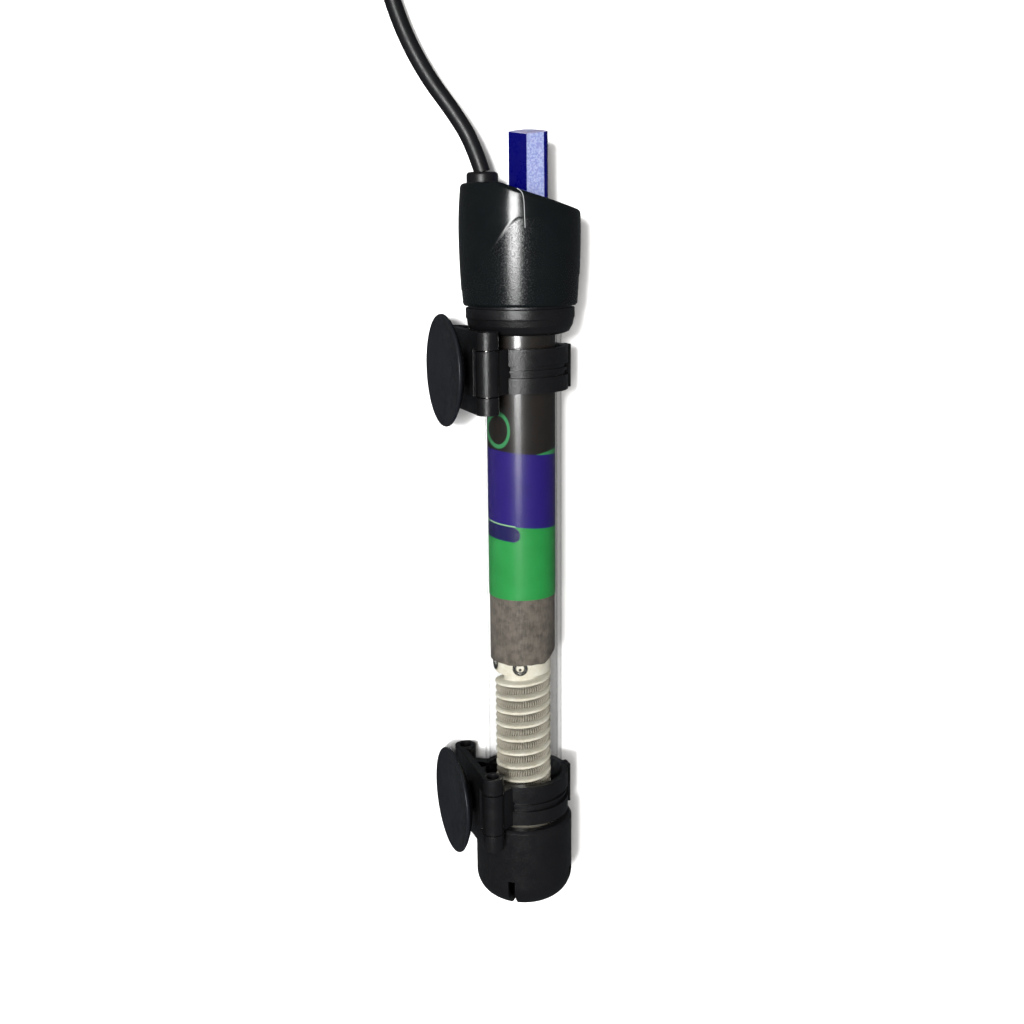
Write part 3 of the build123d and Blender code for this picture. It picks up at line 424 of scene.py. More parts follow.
def ceramic_finish():
    """Unglazed cream ceramic, dusty in its hollows."""
    finish = Finish("cream_ceramic", specular_ior_level=0.3)
    patch = finish.noise(3.0, detail=5)
    grit = finish.noise(0.2, detail=3)
    colour = finish.blend(finish.spread(patch, 0.3, 0.7), rgb(236, 229, 206), rgb(255, 251, 234))
    specks = finish.spread(grit, 0.66, 0.76, 0.0, 0.5)
    finish.set("Base Color", finish.blend(specks, colour, rgb(196, 184, 154)))
    finish.set("Roughness", finish.spread(grit, 0.3, 0.7, 0.62, 0.8))
    finish.bump(grit, 0.03)
    return finish


def glass_finish():
    """Clear glass: what is behind it shows straight through, under a mirror-like skin."""
    finish = Finish("clear_glass")
    nodes = finish.tree.nodes
    smear = finish.spread(finish.noise(14.0, detail=4), 0.35, 0.75, 0.19, 0.25)
    skin = finish.add("BsdfGlossy", {"Roughness": smear, "Color": (1, 1, 1, 1)})
    clear = finish.add("BsdfTransparent", {"Color": (0.985, 0.986, 0.984, 1)})
    edge_on = finish.add("LayerWeight", {"Blend": 0.5}).outputs["Facing"]
    share = finish.value("MULTIPLY_ADD", finish.value("POWER", edge_on, 5), 0.5, 0.05)
    both = finish.add("MixShader", {0: share, 1: clear.outputs[0], 2: skin.outputs[0]})
    finish.tree.links.new(both.outputs[0], nodes["Material Output"].inputs["Surface"])
    nodes.remove(finish.shader)
    return finish


def cup_finish():
    """Dark, slightly waxy soft PVC."""
    dark = (0.004, 0.0044, 0.006, 1)
    light = (0.008, 0.009, 0.011, 1)
    finish = moulded("soft_pvc", dark, light, (0.3, 0.42), 0.8, 0.012)
    finish.set("Specular IOR Level", 0.3)
    return finish


def tie_finish():
    """A strip of dull plastic with fine cross ribs."""
    finish = moulded("tie_plastic", (0.012, 0.012, 0.014, 1), (0.03, 0.03, 0.034, 1), (0.45, 0.6))
    ribs = finish.add("TexWave", {"Vector": finish.place, "Scale": 160.0}, bands_direction="Y")
    finish.bump(ribs.outputs["Fac"], 0.06)
    return finish


BLACK = (0.0022, 0.0022, 0.0026, 1)
SOOT = (0.0045, 0.0045, 0.005, 1)
FINISHES = {
    "clear_glass": glass_finish(),
    "label_film": label_finish(),
    "fibre_sleeve": fibre_finish(),
    "cream_ceramic": ceramic_finish(),
    "resistance_wire": moulded("resistance_wire", rgb(164, 157, 140), rgb(208, 201, 182), (0.35, 0.5)),
    "bright_metal": metal("bright_metal", rgb(180, 178, 172), rgb(216, 214, 208), (0.18, 0.34)),
    "mica": moulded("mica", rgb(150, 138, 112), rgb(196, 182, 152), (0.3, 0.5), 0.6, 0.03),
    "fibre_pad": moulded("fibre_pad", rgb(206, 202, 192), rgb(238, 235, 226), (0.8, 0.95), 0.4, 0.15),
    "black_plastic": moulded("black_plastic", BLACK, SOOT, (0.28, 0.4), 0.4, 0.08),
    "head_plastic": head_finish(),
    "stopper_plastic": moulded("stopper_plastic", SOOT, (0.02, 0.02, 0.022, 1), (0.45, 0.6)),
    "seal_rubber": moulded("seal_rubber", BLACK, SOOT, (0.3, 0.42), 0.5, 0.01),
    "dial_plastic": moulded("dial_plastic", rgb(140, 142, 156), rgb(168, 170, 184), (0.4, 0.55)),
    "knob_blue": knob_finish(),
    "white_plastic": moulded("white_plastic", rgb(214, 212, 206), rgb(232, 230, 224), (0.4, 0.55)),
    "brass": metal("brass", (0.55, 0.38, 0.14, 1), (0.68, 0.5, 0.22, 1), (0.25, 0.4)),
    "bimetal": metal("bimetal", rgb(150, 140, 124), rgb(186, 176, 160), (0.3, 0.45)),
    "magnet": moulded("magnet", (0.03, 0.03, 0.033, 1), (0.06, 0.06, 0.064, 1), (0.5, 0.7), metallic=0.6),
    "lamp_glass": moulded("lamp_glass", rgb(226, 110, 50), rgb(240, 150, 84), (0.08, 0.14), coat_weight=0.5),
    "capacitor_blue": moulded("capacitor_blue", rgb(30, 66, 120), rgb(44, 88, 150), (0.2, 0.3), 1.2, 0.05),
    "soft_pvc": cup_finish(),
    "cord_pvc": cord_finish(),
    "tie_plastic": tie_finish(),
    "plated_pin": metal("plated_pin", rgb(176, 174, 170), rgb(214, 212, 206), (0.12, 0.24)),
}
SLOTS = {part["node"]: part["material_slot"] for part in frame["record"]["subparts"]}
for node_name, node in frame["nodes"].items():
    node.data.materials.clear()
    node.data.materials.append(FINISHES[SLOTS[node_name]].material)

TABLE_DARK = (0.92, 0.92, 0.915, 1)
TABLE_LIGHT = (0.94, 0.94, 0.935, 1)
table_finish = moulded("table", TABLE_DARK, TABLE_LIGHT, (0.6, 0.75), 1.5, 0.01, slow=60.0)


# ---------------------------------------------------------------- how pieces are made
def piece_from(mesh_builder, name, body, finish, sharp=radians(40)):
    """A smooth-shaded piece from a bmesh, riding on a body if one is named."""
    bmesh.ops.remove_doubles(mesh_builder, verts=mesh_builder.verts, dist=1e-7)
    bmesh.ops.recalc_face_normals(mesh_builder, faces=mesh_builder.faces)
    mesh = bpy.data.meshes.new(name)
    mesh_builder.to_mesh(mesh)
    mesh_builder.free()
    mesh.shade_smooth()
    mesh.set_sharp_from_angle(angle=sharp)
    piece = bpy.data.objects.new(name, mesh)
    bpy.context.collection.objects.link(piece)
    mesh.materials.append(finish.material)
    if body:
        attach(piece, body)
    return piece


def rounded(corners, steps=4):
    """Points of a closed outline from (x, y, radius) corners."""
    points = []
    for index, (x, y, radius) in enumerate(corners):
        here = Vector((x, y))
        if not radius:
            points.append(here)
            continue
        back = (Vector(corners[index - 1][:2]) - here).normalized()
        ahead = (Vector(corners[(index + 1) % len(corners)][:2]) - here).normalized()
        half = back.angle(ahead) / 2
        middle = here + (back + ahead).normalized() * radius / sin(half)
        first = here + back * radius / tan(half)
        last = here + ahead * radius / tan(half)
        for step in range(steps + 1):
            arm = first.lerp(last, step / steps) - middle
            points.append(middle + arm.normalized() * radius)
    return points


def bend(start, through, end, steps=8):
    """Points of a soft arc through three points, without the last."""
    start, through, end = Vector(start), Vector(through), Vector(end)
    pull = through * 2 - (start + end) / 2
    return [start.lerp(pull, t).lerp(pull.lerp(end, t), t) for t in (s / steps for s in range(steps))]


def grid_faces(mesh_builder, rows, closed_rows=False):
    """Quads between rows of vertices; each row closes on itself."""
    count = len(rows[0])
    pairs = list(zip(rows, rows[1:]))
    if closed_rows:
        pairs.append((rows[-1], rows[0]))
    for low, high in pairs:
        for index in range(count):
            after = (index + 1) % count
            mesh_builder.faces.new((low[index], low[after], high[after], high[index]))


def lathe(name, body, finish, outline, base, axis, start, steps=160, sharp=radians(40)):
    """Turn a closed outline of (radius, distance) points about an axis."""
    side = axis.cross(start)
    mesh_builder = bmesh.new()
    rows = []
    for radius, distance in outline:
        ring = []
        for step in range(steps):
            angle = tau * step / steps
            arm = start * cos(angle) + side * sin(angle)
            ring.append(mesh_builder.verts.new(base + (axis * distance + arm * radius) * MM))
        rows.append(ring)
    grid_faces(mesh_builder, rows, closed_rows=True)
    return piece_from(mesh_builder, name, body, finish, sharp)


def tube_lathe(name, slot, outline, node_name):
    """A lathe about the glass tube's axis, by station, standing for one CAD node."""
    piece = lathe(name, "heater", FINISHES[slot], outline, spot(0, 0, 0), ALONG, FRONT)
    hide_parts(node_name)


def softened(node_name, width, segments=2):
    """The CAD node's shape with its sharp edges rounded, standing for the node."""
    node = frame["nodes"][node_name]
    mesh_builder = bmesh.new()
    mesh_builder.from_mesh(node.data)
    bmesh.ops.remove_doubles(mesh_builder, verts=mesh_builder.verts, dist=1e-6)
    bmesh.ops.dissolve_limit(
        mesh_builder, angle_limit=radians(0.5), verts=mesh_builder.verts, edges=mesh_builder.edges
    )
    corners = [
        edge
        for edge in mesh_builder.edges
        if len(edge.link_faces) == 2 and edge.calc_face_angle() > radians(35)
    ]
    bmesh.ops.bevel(
        mesh_builder,
        geom=corners,
        offset=width * MM,
        offset_type="OFFSET",
        segments=segments,
        profile=0.5,
        affect="EDGES",
        clamp_overlap=True,
    )
    finish = FINISHES[SLOTS[node_name]]
    piece = piece_from(mesh_builder, f"{node_name}_body", node["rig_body"], finish)
    even = piece.modifiers.new("even", "WEIGHTED_NORMAL")
    even.keep_sharp = True
    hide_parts(node_name)
    return piece


def strand(name, points, radius, finish, smooth=True):
    """A round strand along points in millimetres, as a smooth spline or as straight runs."""
    curve = bpy.data.curves.new(name, "CURVE")
    curve.dimensions = "3D"
    curve.bevel_depth = radius * MM
    curve.bevel_resolution = 8 if smooth else 1
    curve.resolution_u = 10
    curve.use_fill_caps = smooth
    spline = curve.splines.new("NURBS" if smooth else "POLY")
    spline.points.add(len(points) - 1)
    for target, point in zip(spline.points, points):
        target.co = (*(point * MM), 1)
    if smooth:
        spline.order_u = 3
        spline.use_endpoint_u = True
    piece = bpy.data.objects.new(name, curve)
    bpy.context.collection.objects.link(piece)
    curve.materials.append(finish.material)
    return piece


# ---------------------------------------------------------------- table
table_mesh = bmesh.new()
TABLE_HALF = 0.75  # metres
bmesh.ops.create_grid(table_mesh, x_segments=8, y_segments=8, size=TABLE_HALF)
table = piece_from(table_mesh, "table", None, table_finish)
table.visible_glossy = False  # the plastics reflect the dark room, not a white table

# ---------------------------------------------------------------- mains lead
CORD_R = 2.2
COIL_MIDDLE = Vector((0, 186.0))
COIL_LOW = 2.8  # height of the lower turns' middle
COIL_HIGH = COIL_LOW + 2 * CORD_R
COIL_POINTS = 16  # to a turn
COIL_TURNS = 7
COIL_OUTER = 32.6
COIL_INNER = 19.5
CUT_IN = cos(pi / COIL_POINTS)  # how far the spline runs inside its points
COIL_TOP = COIL_HIGH + CORD_R
PLUG_HALF_THICK = 6.85
relief_start = Vector((7.2, 215.1, COIL_TOP + PLUG_HALF_THICK))
PLUG_TURN = radians(30)
plug_ahead = Vector((-sin(PLUG_TURN), -cos(PLUG_TURN), 0))

GLAND_RIGHT = -10.0
GLAND_TOP = 212.8
gland_exit = spot(GLAND_RIGHT, 0, GLAND_TOP)
down_route = [
    gland_exit / MM,
    Vector((-8.5, 108.6, 11.4)),
    Vector((-13.3, 116.7, 9.7)),
    Vector((-19.7, 125.8, 7.1)),
    Vector((-25.2, 137.0, 4.8)),
    Vector((-29.4, 150.6, 3.3)),
    Vector((-31.8, 168.6, COIL_LOW)),
]
tail_route = [
    Vector((-33.5, 203.0, 6.9)),
    Vector((-33.8, 220.0, 5.5)),
    Vector((-33.4, 238.0, 4.2)),
    Vector((-27.1, 248.9, 3.7)),
    Vector((-16.3, 255.1, 5.0)),
    Vector((-3.8, 255.1, 7.8)),
    Vector((7.0, 248.8, 11.0)),
    Vector((13.2, 238.0, 13.9)),
    Vector((13.2, 225.5, 15.8)),
    relief_start,
]


def coil_radius(turn):
    """Winds inwards for three turns, tucks in while it climbs, and winds outwards again."""
    if turn < 3:
        return COIL_OUTER - 2 * CORD_R * turn
    if turn < 4:
        return COIL_INNER - 1.6 * sin(pi * (turn - 3))
    return COIL_INNER + 0.1 + 2 * CORD_R * (turn - 4)


def coil_route():
    """Seven turns, clockwise from above, three on the table and three on top of those."""
    points = []
    for step in range(COIL_TURNS * COIL_POINTS + 1):
        turn = step / COIL_POINTS
        radius = coil_radius(turn) / CUT_IN
        rise = smooth_step((turn - 3.05) / 0.7)
        height = COIL_LOW + rise * (COIL_HIGH - COIL_LOW)
        angle = tau * turn
        points.append(Vector((-radius * cos(angle), COIL_MIDDLE.y + radius * sin(angle), height)))
    return points


lead = strand("lead", down_route + coil_route() + tail_route, CORD_R, FINISHES["cord_pvc"])
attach(lead, "heater")
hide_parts("mains_cord", "cord_coil", "cord_tail")

tie = softened("coil_tie", 0.25)
plug = softened("plug_body", 0.4, segments=3)
plug_pins = softened("plug_pins", 0.15)

RELIEF_LENGTH = 20.0
RELIEF_RIBS = 6
RIB_PITCH = 3.0
RIB_SHAPE = (  # out from the taper, and along
    (0.0, 0.0),
    (0.12, 0.3),
    (0.2, 1.7),
    (0.1, 2.0),
    (-0.45, 2.2),
    (-0.4, 2.7),
)


def relief_outline():
    """A sleeve that widens from the cord to the plug, with a rib every few millimetres."""
    outline = [(0, 0), (CORD_R + 0.3, 0)]
    for rib in range(RELIEF_RIBS):
        low = 0.6 + rib * RIB_PITCH
        radius = CORD_R + 0.7 + 1.9 * low / RELIEF_LENGTH
        outline += [(radius + out, low + along) for out, along in RIB_SHAPE]
    return outline + [(4.7, RELIEF_LENGTH - 1), (4.8, RELIEF_LENGTH), (0, RELIEF_LENGTH)]


relief = lathe(
    "relief",
    "heater",
    FINISHES["cord_pvc"],
    relief_outline(),
    relief_start * MM,
    plug_ahead,
    Vector((0, 0, 1)),
    steps=48,
)
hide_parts("plug_relief")

# ---------------------------------------------------------------- glass, label and sleeve
SHEET_IN = 9.5
SHEET_OUT = 9.65
SHEET_BOTTOM = 94.8
SHEET_TOP = 170.0
sheet_bottom = [(SHEET_IN, SHEET_BOTTOM), (SHEET_OUT, SHEET_BOTTOM)]
sheet_top = [(SHEET_OUT, SHEET_TOP), (SHEET_IN, SHEET_TOP)]
tube_lathe("label", "label_film", sheet_bottom + sheet_top, "label_sleeve")

SLEEVE_IN = 8.95
SLEEVE_OUT = 9.45
SLEEVE_TOP = 170.0
SLEEVE_BOTTOM = 75.3
CLIP_START = 6.4  # right of the tube's middle
CLIP_SLOPE = 0.9
SLEEVE_STEPS = 192
SLEEVE_ROWS = (  # radius, and share of the way from the cut edge to the top
    (SLEEVE_IN, 1.0),
    (SLEEVE_IN, 0.0),
    ((SLEEVE_IN + SLEEVE_OUT) / 2, -0.002),
    (SLEEVE_OUT, 0.0),
    (SLEEVE_OUT, 0.1),
    (SLEEVE_OUT, 1.0),
)


def sleeve_ring(mesh_builder, radius, share):
    """Vertices round the fibre tube, whose lower edge is uneven and has one corner cut off."""
    ring = []
    for step in range(SLEEVE_STEPS):
        angle = tau * step / SLEEVE_STEPS
        right = radius * sin(angle)
        cut = max(right - CLIP_START, 0) * CLIP_SLOPE
        low = SLEEVE_BOTTOM + cut + 0.12 * sin(5 * angle) + 0.06 * sin(17 * angle)
        station = low + share * (SLEEVE_TOP - low)
        ring.append(mesh_builder.verts.new(spot(right, radius * cos(angle), station)))
    return ring


sleeve_mesh = bmesh.new()
sleeve_rows = [sleeve_ring(sleeve_mesh, radius, share) for radius, share in SLEEVE_ROWS]
grid_faces(sleeve_mesh, sleeve_rows, closed_rows=True)
sleeve = piece_from(sleeve_mesh, "sleeve", "heater", FINISHES["fibre_sleeve"])
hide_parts("insulation_sleeve")

GLASS_R = 11.4
GLASS_IN = 10.2
GLASS_TOP = 190.0
DOME = 15.6  # station of the round end's middle


def dome_arc(start, middle, end):
    """Points from one end of a quarter of the round end to the other."""
    return bend(start, middle, end, 16) + [end]


def glass_outline():
    """The wall from inside its top, round its closed end, to outside its top."""
    inner = (GLASS_IN * cos(pi / 4), DOME - GLASS_IN * cos(pi / 4))
    outer = (GLASS_R * cos(pi / 4), DOME - GLASS_R * cos(pi / 4))
    inside = dome_arc((GLASS_IN, DOME), inner, (0, DOME - GLASS_IN))
    outside = dome_arc((0, DOME - GLASS_R), outer, (GLASS_R, DOME))
    return [(GLASS_IN, GLASS_TOP)] + inside + outside + [(GLASS_R, GLASS_TOP)]


tube_lathe("glass", "clear_glass", glass_outline(), "glass_tube")

# ---------------------------------------------------------------- heating element
TURN_PITCH = 4.26
CORE_BOTTOM = 22.0
CORE_TOP = 77.5
CORE_R = 8.2
RIDGE_START = 26.0
RIDGE_END = 71.3
CORE_BODY_R = 5.6
RIDGE_HEIGHT = 2.55
RIDGE_HALF = 0.5
CORE_EDGE_R = 0.4
LEAD_HOLE_R = 1.4
THREAD_STEP = 0.15
THREAD_STEPS = 144


def thread_radius(station, angle):
    """The former's radius: a round-topped ridge wound along a plain body, and a collar at each end."""
    if station > RIDGE_END or station < RIDGE_START:
        near_end = max(CORE_EDGE_R - min(CORE_TOP - station, station - CORE_BOTTOM), 0)
        return CORE_R - near_end * near_end / CORE_EDGE_R
    phase = (station - RIDGE_START) / TURN_PITCH - angle / tau
    away = abs(phase - round(phase)) * TURN_PITCH
    wobble = 0.04 * sin(9 * angle + 2.1 * station)
    return CORE_BODY_R + wobble + RIDGE_HEIGHT * smooth_step((RIDGE_HALF + 0.3 - away) / 0.5)


def thread_ring(mesh_builder, station, reach=None):
    """Vertices round the former, at its own radius or at one reach."""
    ring = []
    for step in range(THREAD_STEPS):
        angle = tau * step / THREAD_STEPS
        radius = reach or thread_radius(station, angle)
        ring.append(mesh_builder.verts.new(spot(radius * sin(angle), radius * cos(angle), station)))
    return ring


thread_mesh = bmesh.new()
thread_rows = [thread_ring(thread_mesh, CORE_BOTTOM, LEAD_HOLE_R)]
for row in range(int((CORE_TOP - CORE_BOTTOM) / THREAD_STEP) + 1):
    thread_rows.append(thread_ring(thread_mesh, CORE_BOTTOM + row * THREAD_STEP))
thread_rows.append(thread_ring(thread_mesh, CORE_TOP, LEAD_HOLE_R))
grid_faces(thread_mesh, thread_rows, closed_rows=True)
thread = piece_from(thread_mesh, "ceramic_thread", "heater", FINISHES["cream_ceramic"], radians(60))
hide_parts("ceramic_core")

WIRE_PATH_R = 6.95
WIRE_COIL_R = 1.0
WIRE_R = 0.2
WIRE_START = RIDGE_START + TURN_PITCH / 2
WIRE_TURNS = 9.6
FINE_TURNS = 66  # of the fine coil in each turn about the core
FINE_POINTS = 8


def fine_coil(turns):
    """Points of the fine coil, itself wound along the core's hollow."""
    points = []
    for step in range(int(turns * FINE_TURNS * FINE_POINTS)):
        about = tau * step / (FINE_TURNS * FINE_POINTS)
        twist = tau * step / FINE_POINTS
        radius = WIRE_PATH_R + WIRE_COIL_R * cos(twist)
        station = WIRE_START + TURN_PITCH * about / tau + WIRE_COIL_R * sin(twist)
        points.append(spot(radius * sin(about), radius * cos(about), station) / MM)
    return points


wire = strand("wire", fine_coil(WIRE_TURNS), WIRE_R, FINISHES["resistance_wire"], smooth=False)
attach(wire, "heater")
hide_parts("heating_coil")

EYELET_STATION = 74.0
EYELET_TURNS = (("front_eyelet", radians(-6)), ("side_eyelet", radians(-76)))
RING_OUTLINE = rounded(
    [(1.1, 0.0, 0), (2.2, 0.0, 0), (2.2, 0.48, 0.2), (1.4, 0.48, 0.2), (1.1, 0.1, 0)], steps=5
)
WIRE_END_OUTLINE = ((0, 0.0), (0.42, 0.0), (0.42, 0.4), (0.25, 0.62), (0, 0.68))
EYELET_PARTS = (("ring", RING_OUTLINE, 0.0), ("wire_end", WIRE_END_OUTLINE, 0.4))
for eyelet_name, turn in EYELET_TURNS:
    out = RIGHT * sin(turn) + FRONT * cos(turn)
    base = spot(CORE_R * sin(turn), CORE_R * cos(turn), EYELET_STATION)
    for part_name, outline, shift in EYELET_PARTS:
        eyelet = lathe(
            f"{eyelet_name}_{part_name}",
            "heater",
            FINISHES["bright_metal"],
            outline,
            base + (ALONG * -shift - out * 0.1) * MM,
            out,
            ALONG,
            steps=40,
        )
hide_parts("element_terminals")

# ---------------------------------------------------------------- head shell
HEAD_BOTTOM = 177.3
HEAD_TOP = 209.9
HEAD_WIDEST = 16.72
HEAD_WIDE_STATION = 197.0
HEAD_CURVE_BELOW = 0.0021  # how fast it narrows below and above its widest
HEAD_CURVE_ABOVE = 0.0045
HEAD_FLATTEN = 0.932  # depth over width
SLANT_START = -6.2
SLANT = 0.318
SLANT_SOFT = 0.35
RIM_R = 1.2
WELL_R = 6.2
WELL_RIGHT = 2.5
WELL_FLOOR = 196.3
HEAD_STEPS = 288
HEAD_ROWS = 112
ARCH_TOP = 200.6
ARCH_MIDDLE = 2.1
ARCH_FLAT = 1.9
ARCH_SLOPES = (1.36, 1.48)
ARCH_SOFT = 2.4
PANEL_STEP = 0.14
PANEL_BLEND = 0.465
FOOT_R = 13.2
FOOT_TUCK = 0.35
FOOT_TUCK_HEIGHT = 0.5


def head_width(station):
    """Half the head's width."""
    away = station - HEAD_WIDE_STATION
    return HEAD_WIDEST - away * away * (HEAD_CURVE_BELOW if away < 0 else HEAD_CURVE_ABOVE)


def top_height(right):
    """The flat and slanted top, with a soft change between them."""
    past = right - SLANT_START
    return HEAD_TOP - SLANT * (past + sqrt(past * past + SLANT_SOFT)) / 2


def arch_height(right):
    """The textured panel's arch-shaped upper edge."""
    past = max(abs(right - ARCH_MIDDLE) - ARCH_FLAT, 0)
    slope = ARCH_SLOPES[right > ARCH_MIDDLE]
    return ARCH_TOP - slope * (sqrt(past * past + ARCH_SOFT**2) - ARCH_SOFT)


def in_panel(right, station):
    """0 above the arch and 1 below it, changing over a narrow band along the sloping edge."""
    return smooth_step((arch_height(right) - station) / PANEL_BLEND + 0.5)


def rim_edge(angle):
    """Station where the side ends and the rounded rim begins."""
    return top_height(HEAD_WIDEST * 0.95 * sin(angle)) - RIM_R


def flank_ring(share):
    """Points round the side at a share of the height, below the rounded rim."""
    for step in range(HEAD_STEPS):
        angle = tau * step / HEAD_STEPS
        edge = rim_edge(angle)
        station = HEAD_BOTTOM + share * (edge - HEAD_BOTTOM)
        width = head_width(station)
        panel = in_panel(width * sin(angle), station)
        foot = FOOT_TUCK * (1 - smooth_step((station - HEAD_BOTTOM) / FOOT_TUCK_HEIGHT))
        reach = width - panel * PANEL_STEP - foot
        yield reach * sin(angle), reach * HEAD_FLATTEN * cos(angle), station, panel


def rim_ring(turn):
    """Points on the rounded rim; turn goes from 0 at the side to 90 degrees at the top."""
    for step in range(HEAD_STEPS):
        angle = tau * step / HEAD_STEPS
        edge = rim_edge(angle)
        reach = head_width(edge) - RIM_R * (1 - cos(turn))
        station = edge + RIM_R * sin(turn)
        yield reach * sin(angle), reach * HEAD_FLATTEN * cos(angle), station, 0.0


def top_ring(share):
    """Points on the top, from inside the rim at 0 to the knob's well at 1."""
    for step in range(HEAD_STEPS):
        angle = tau * step / HEAD_STEPS
        edge = rim_edge(angle)
        reach = head_width(edge) - RIM_R
        right = reach * sin(angle) * (1 - share) + (WELL_RIGHT + WELL_R * sin(angle)) * share
        front = (reach * HEAD_FLATTEN * (1 - share) + WELL_R * share) * cos(angle)
        lip = 0.25 * smooth_step((share - 0.97) / 0.03)
        yield right, front, top_height(right) - lip, 0.0


def well_ring(radius, station):
    """Points round the knob's well."""
    for step in range(HEAD_STEPS):
        angle = tau * step / HEAD_STEPS
        yield WELL_RIGHT + radius * sin(angle), radius * cos(angle), station, 0.0


def foot_ring():
    """Points of the opening that the collar fills."""
    for step in range(HEAD_STEPS):
        angle = tau * step / HEAD_STEPS
        yield FOOT_R * sin(angle), FOOT_R * cos(angle), HEAD_BOTTOM, 0.0


def head_rings():
    """Every ring of the head's skin, from its foot up and into the knob's well."""
    yield foot_ring()
    for row in range(HEAD_ROWS + 1):
        yield flank_ring(row / HEAD_ROWS)
    for step in range(1, 7):
        yield rim_ring(radians(15 * step))
    for share in (0.12, 0.25, 0.4, 0.55, 0.7, 0.82, 0.9, 0.96, 1.0):
        yield top_ring(share)
    yield well_ring(WELL_R - 0.05, WELL_FLOOR)
    yield well_ring(WELL_R - 4.0, WELL_FLOOR)


head_mesh = bmesh.new()
head_rows = []
head_marks = []  # how far each point is inside the panel
for ring in head_rings():
    row = []
    for right, front, station, inside in ring:
        row.append(head_mesh.verts.new(spot(right, front, station)))
        head_marks.append(inside)
    head_rows.append(row)
grid_faces(head_mesh, head_rows)
bmesh.ops.recalc_face_normals(head_mesh, faces=head_mesh.faces)
head_data = bpy.data.meshes.new("head")
head_mesh.to_mesh(head_data)
head_mesh.free()
panel_layer = head_data.attributes.new("panel", "FLOAT", "POINT")
panel_layer.data.foreach_set("value", head_marks)
head_data.shade_smooth()
head_data.set_sharp_from_angle(angle=radians(50))
head_data.materials.append(FINISHES["head_plastic"].material)
head = bpy.data.objects.new("head", head_data)
bpy.context.collection.objects.link(head)
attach(head, "heater")
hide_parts("head_shell")

MOULD_LINE = ((-0.7, 208.0), (0.3, 207.5), (0.95, 206.2), (1.15, 203.8), (1.22, 201.0), (1.35, 198.0))
MOULD_LINE_R = 0.11
MOULD_LINE_SUNK = 0.03
# the ridge is the head's own near-black plastic; these greys are a painted highlight along it
MOULD_HIGHLIGHT_DIM = (0.12, 0.13, 0.13, 1)
MOULD_HIGHLIGHT_BRIGHT = (0.3, 0.31, 0.31, 1)
mould_points = []
for right, station in MOULD_LINE:
    depth = sqrt(head_width(station) ** 2 - right * right) * HEAD_FLATTEN
    mould_points.append(spot(right, depth - MOULD_LINE_SUNK, station) / MM)
# a thin ridge along the parting line, painted light grey as a painted highlight
mould_painted_highlight = moulded("mould_painted_highlight", MOULD_HIGHLIGHT_DIM, MOULD_HIGHLIGHT_BRIGHT, (0.3, 0.4), 0.3, 0.005)
mould_line_highlight = strand("mould_line_highlight", mould_points, MOULD_LINE_R, mould_painted_highlight)
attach(mould_line_highlight, "heater")

# ---------------------------------------------------------------- collar, gland and knob
COLLAR_OUTLINE = (  # radius, station and corner radius
    (11.5, 169.6, 0.1),
    (12.1, 169.6, 0.3),
    (13.5, 170.1, 0.9),
    (14.6, 172.0, 1.2),
    (14.9, 173.8, 0.2),
    (15.1, 174.0, 0.2),
    (15.1, 176.7, 0.25),
    (14.3, 176.7, 0.1),
    (14.3, 177.3, 0),
    (13.2, 177.3, 0),
    (13.2, 182.0, 0),
    (11.5, 182.0, 0),
)
tube_lathe("collar", "black_plastic", rounded(COLLAR_OUTLINE), "seal_collar")

GLAND_OUTLINE = (  # radius, station and corner radius
    (1.4, 203.2, 0),
    (3.1, 203.2, 0),
    (3.1, 209.9, 0),
    (4.3, 209.9, 0.15),
    (4.3, GLAND_TOP, 0.8),
    (2.3, GLAND_TOP, 0.2),
    (2.0, 212.0, 0),
    (1.4, 206.8, 0),
)
gland = lathe(
    "gland",
    "heater",
    FINISHES["seal_rubber"],
    rounded(GLAND_OUTLINE),
    spot(GLAND_RIGHT, 0, 0),
    ALONG,
    FRONT,
    steps=96,
)
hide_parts("cable_gland")

softened("knob", 0.3, segments=3)


def knob_plate(name, corners, normal, finish, thick):
    """A thin plate on one of the knob's faces, standing a little proud of it, that carries a painted
    highlight.
    """
    mesh_builder = bmesh.new()
    under = [mesh_builder.verts.new(corner) for corner in corners]
    over = [mesh_builder.verts.new(corner + normal * thick * MM) for corner in corners]
    grid_faces(mesh_builder, [under, over])
    mesh_builder.faces.new(under)
    mesh_builder.faces.new(over)
    bmesh.ops.recalc_face_normals(mesh_builder, faces=mesh_builder.faces)
    edges = mesh_builder.edges[:]
    bmesh.ops.bevel(mesh_builder, geom=edges, offset=0.05 * MM, segments=2, affect="EDGES")
    plate = piece_from(mesh_builder, name, "knob", finish)
    return plate


KNOB_RIDGE = Vector((WELL_RIGHT - 0.6, 3.1))
FACE_END = Vector((WELL_RIGHT + 4.8, 0.5))
FACE_LOW = 205.6
FACE_CORNERS = ((0.02, FACE_LOW), (0.9, FACE_LOW), (0.88, 223.0), (0.02, 222.4))
face_run = FACE_END - KNOB_RIDGE
face_out = (FRONT * face_run.x - RIGHT * face_run.y).normalized()


def on_face(share, station):
    """A point on the knob's right face, from its ridge at 0 to its right end at 1."""
    flat = KNOB_RIDGE + face_run * share
    return spot(flat.x, flat.y, station)


# the right face is the knob's own blue plastic, sanded, and painted pale blue here as a painted highlight
# where the light falls on it
sanded_lit_face = sanded_painted_light_finish("knob_face_painted_light", rgb(142, 152, 212), rgb(190, 199, 240), 0.08)
face_corners = [on_face(share, station) for share, station in FACE_CORNERS]
knob_plate("knob_lit_panel", face_corners, face_out, sanded_lit_face, thick=0.12)

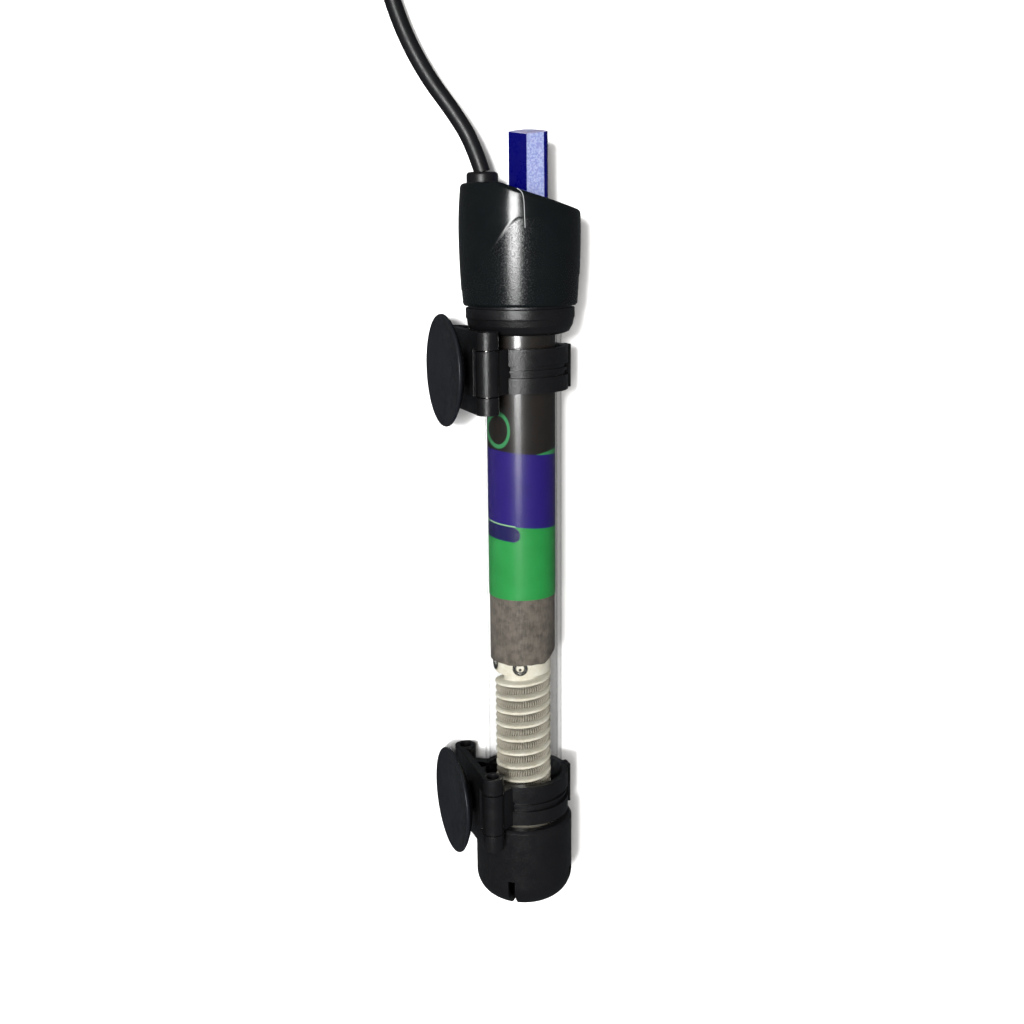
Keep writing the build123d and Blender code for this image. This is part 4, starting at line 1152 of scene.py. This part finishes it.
BLADE_TOP = 224.0
BLADE_SLOPE = 1.6 / 6.0  # the end falls towards the front
BLADE_BACK = -2.9
BLADE_OUTLINE = (  # right and front of the blade's end, from its left edge by the ridge
    (-5.25, 0.0),
    (-0.6, 3.05),
    (4.75, 0.48),
    (5.25, -0.4),
    (3.6, -1.75),
    (1.5, -2.65),
    (-1.0, -2.75),
    (-3.4, -1.6),
)
blade_end = [
    spot(WELL_RIGHT + right, front, BLADE_TOP - BLADE_SLOPE * (front - BLADE_BACK))
    for right, front in BLADE_OUTLINE
]
# the blade's end is the knob's own blue plastic, painted pale lavender as a painted highlight where the
# light falls on it
lit_end_paint = sanded_painted_light_finish("knob_end_painted_light", rgb(176, 172, 222), rgb(208, 204, 240), 0.03)
knob_plate("knob_lit_end", blade_end, ALONG, lit_end_paint, thick=0.1)

# ---------------------------------------------------------------- clamps, cups and cap
CUP_R = 15.4
CUP_RIM = 23.0  # distances along a cup are from the tube's axis
CUP_STUD = ((0, 13.3), (2.4, 13.3), (2.75, 13.5), (3.5, 14.0), (3.5, 14.5), (2.92, 14.5), (2.92, 17.4))
CUP_BACK = [(4.4, 17.4)] + bend((5.2, 18.2), (10.8, 19.9), (15.3, 22.2), 14)
CUP_LIP = (
    (15.36, 22.4),
    (CUP_R, 22.7),
    (15.3, 22.95),
    (15.1, CUP_RIM),
    (14.5, CUP_RIM),
    (14.25, 22.9),
)
CUP_FACE = bend((14.1, 22.8), (8.6, 21.3), (2.2, 20.5), 16)
CUP_DIMPLE = ((2.0, 20.4), (1.7, 20.15), (1.2, 20.02), (0, 20.0))
cup_outline = [*CUP_STUD, *CUP_BACK, *CUP_LIP, *CUP_FACE, *CUP_DIMPLE]
for clamp in ("upper", "lower"):
    softened(f"{clamp}_bracket", 0.3)
    softened(f"{clamp}_front_jaw", 0.22)
    softened(f"{clamp}_rear_jaw", 0.22)
    low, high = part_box(f"{clamp}_suction_cup")
    cup = lathe(
        f"{clamp}_cup_skin",
        f"{clamp}_cup",
        FINISHES["soft_pvc"],
        cup_outline,
        Vector((TUBE_X * MM, (low[1] + high[1]) / 2, AXIS_H * MM)),
        TO_CUPS,
        Vector((0, 0, 1)),
        sharp=radians(60),
    )
    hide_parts(f"{clamp}_suction_cup")

softened("guard_cap", 0.25)
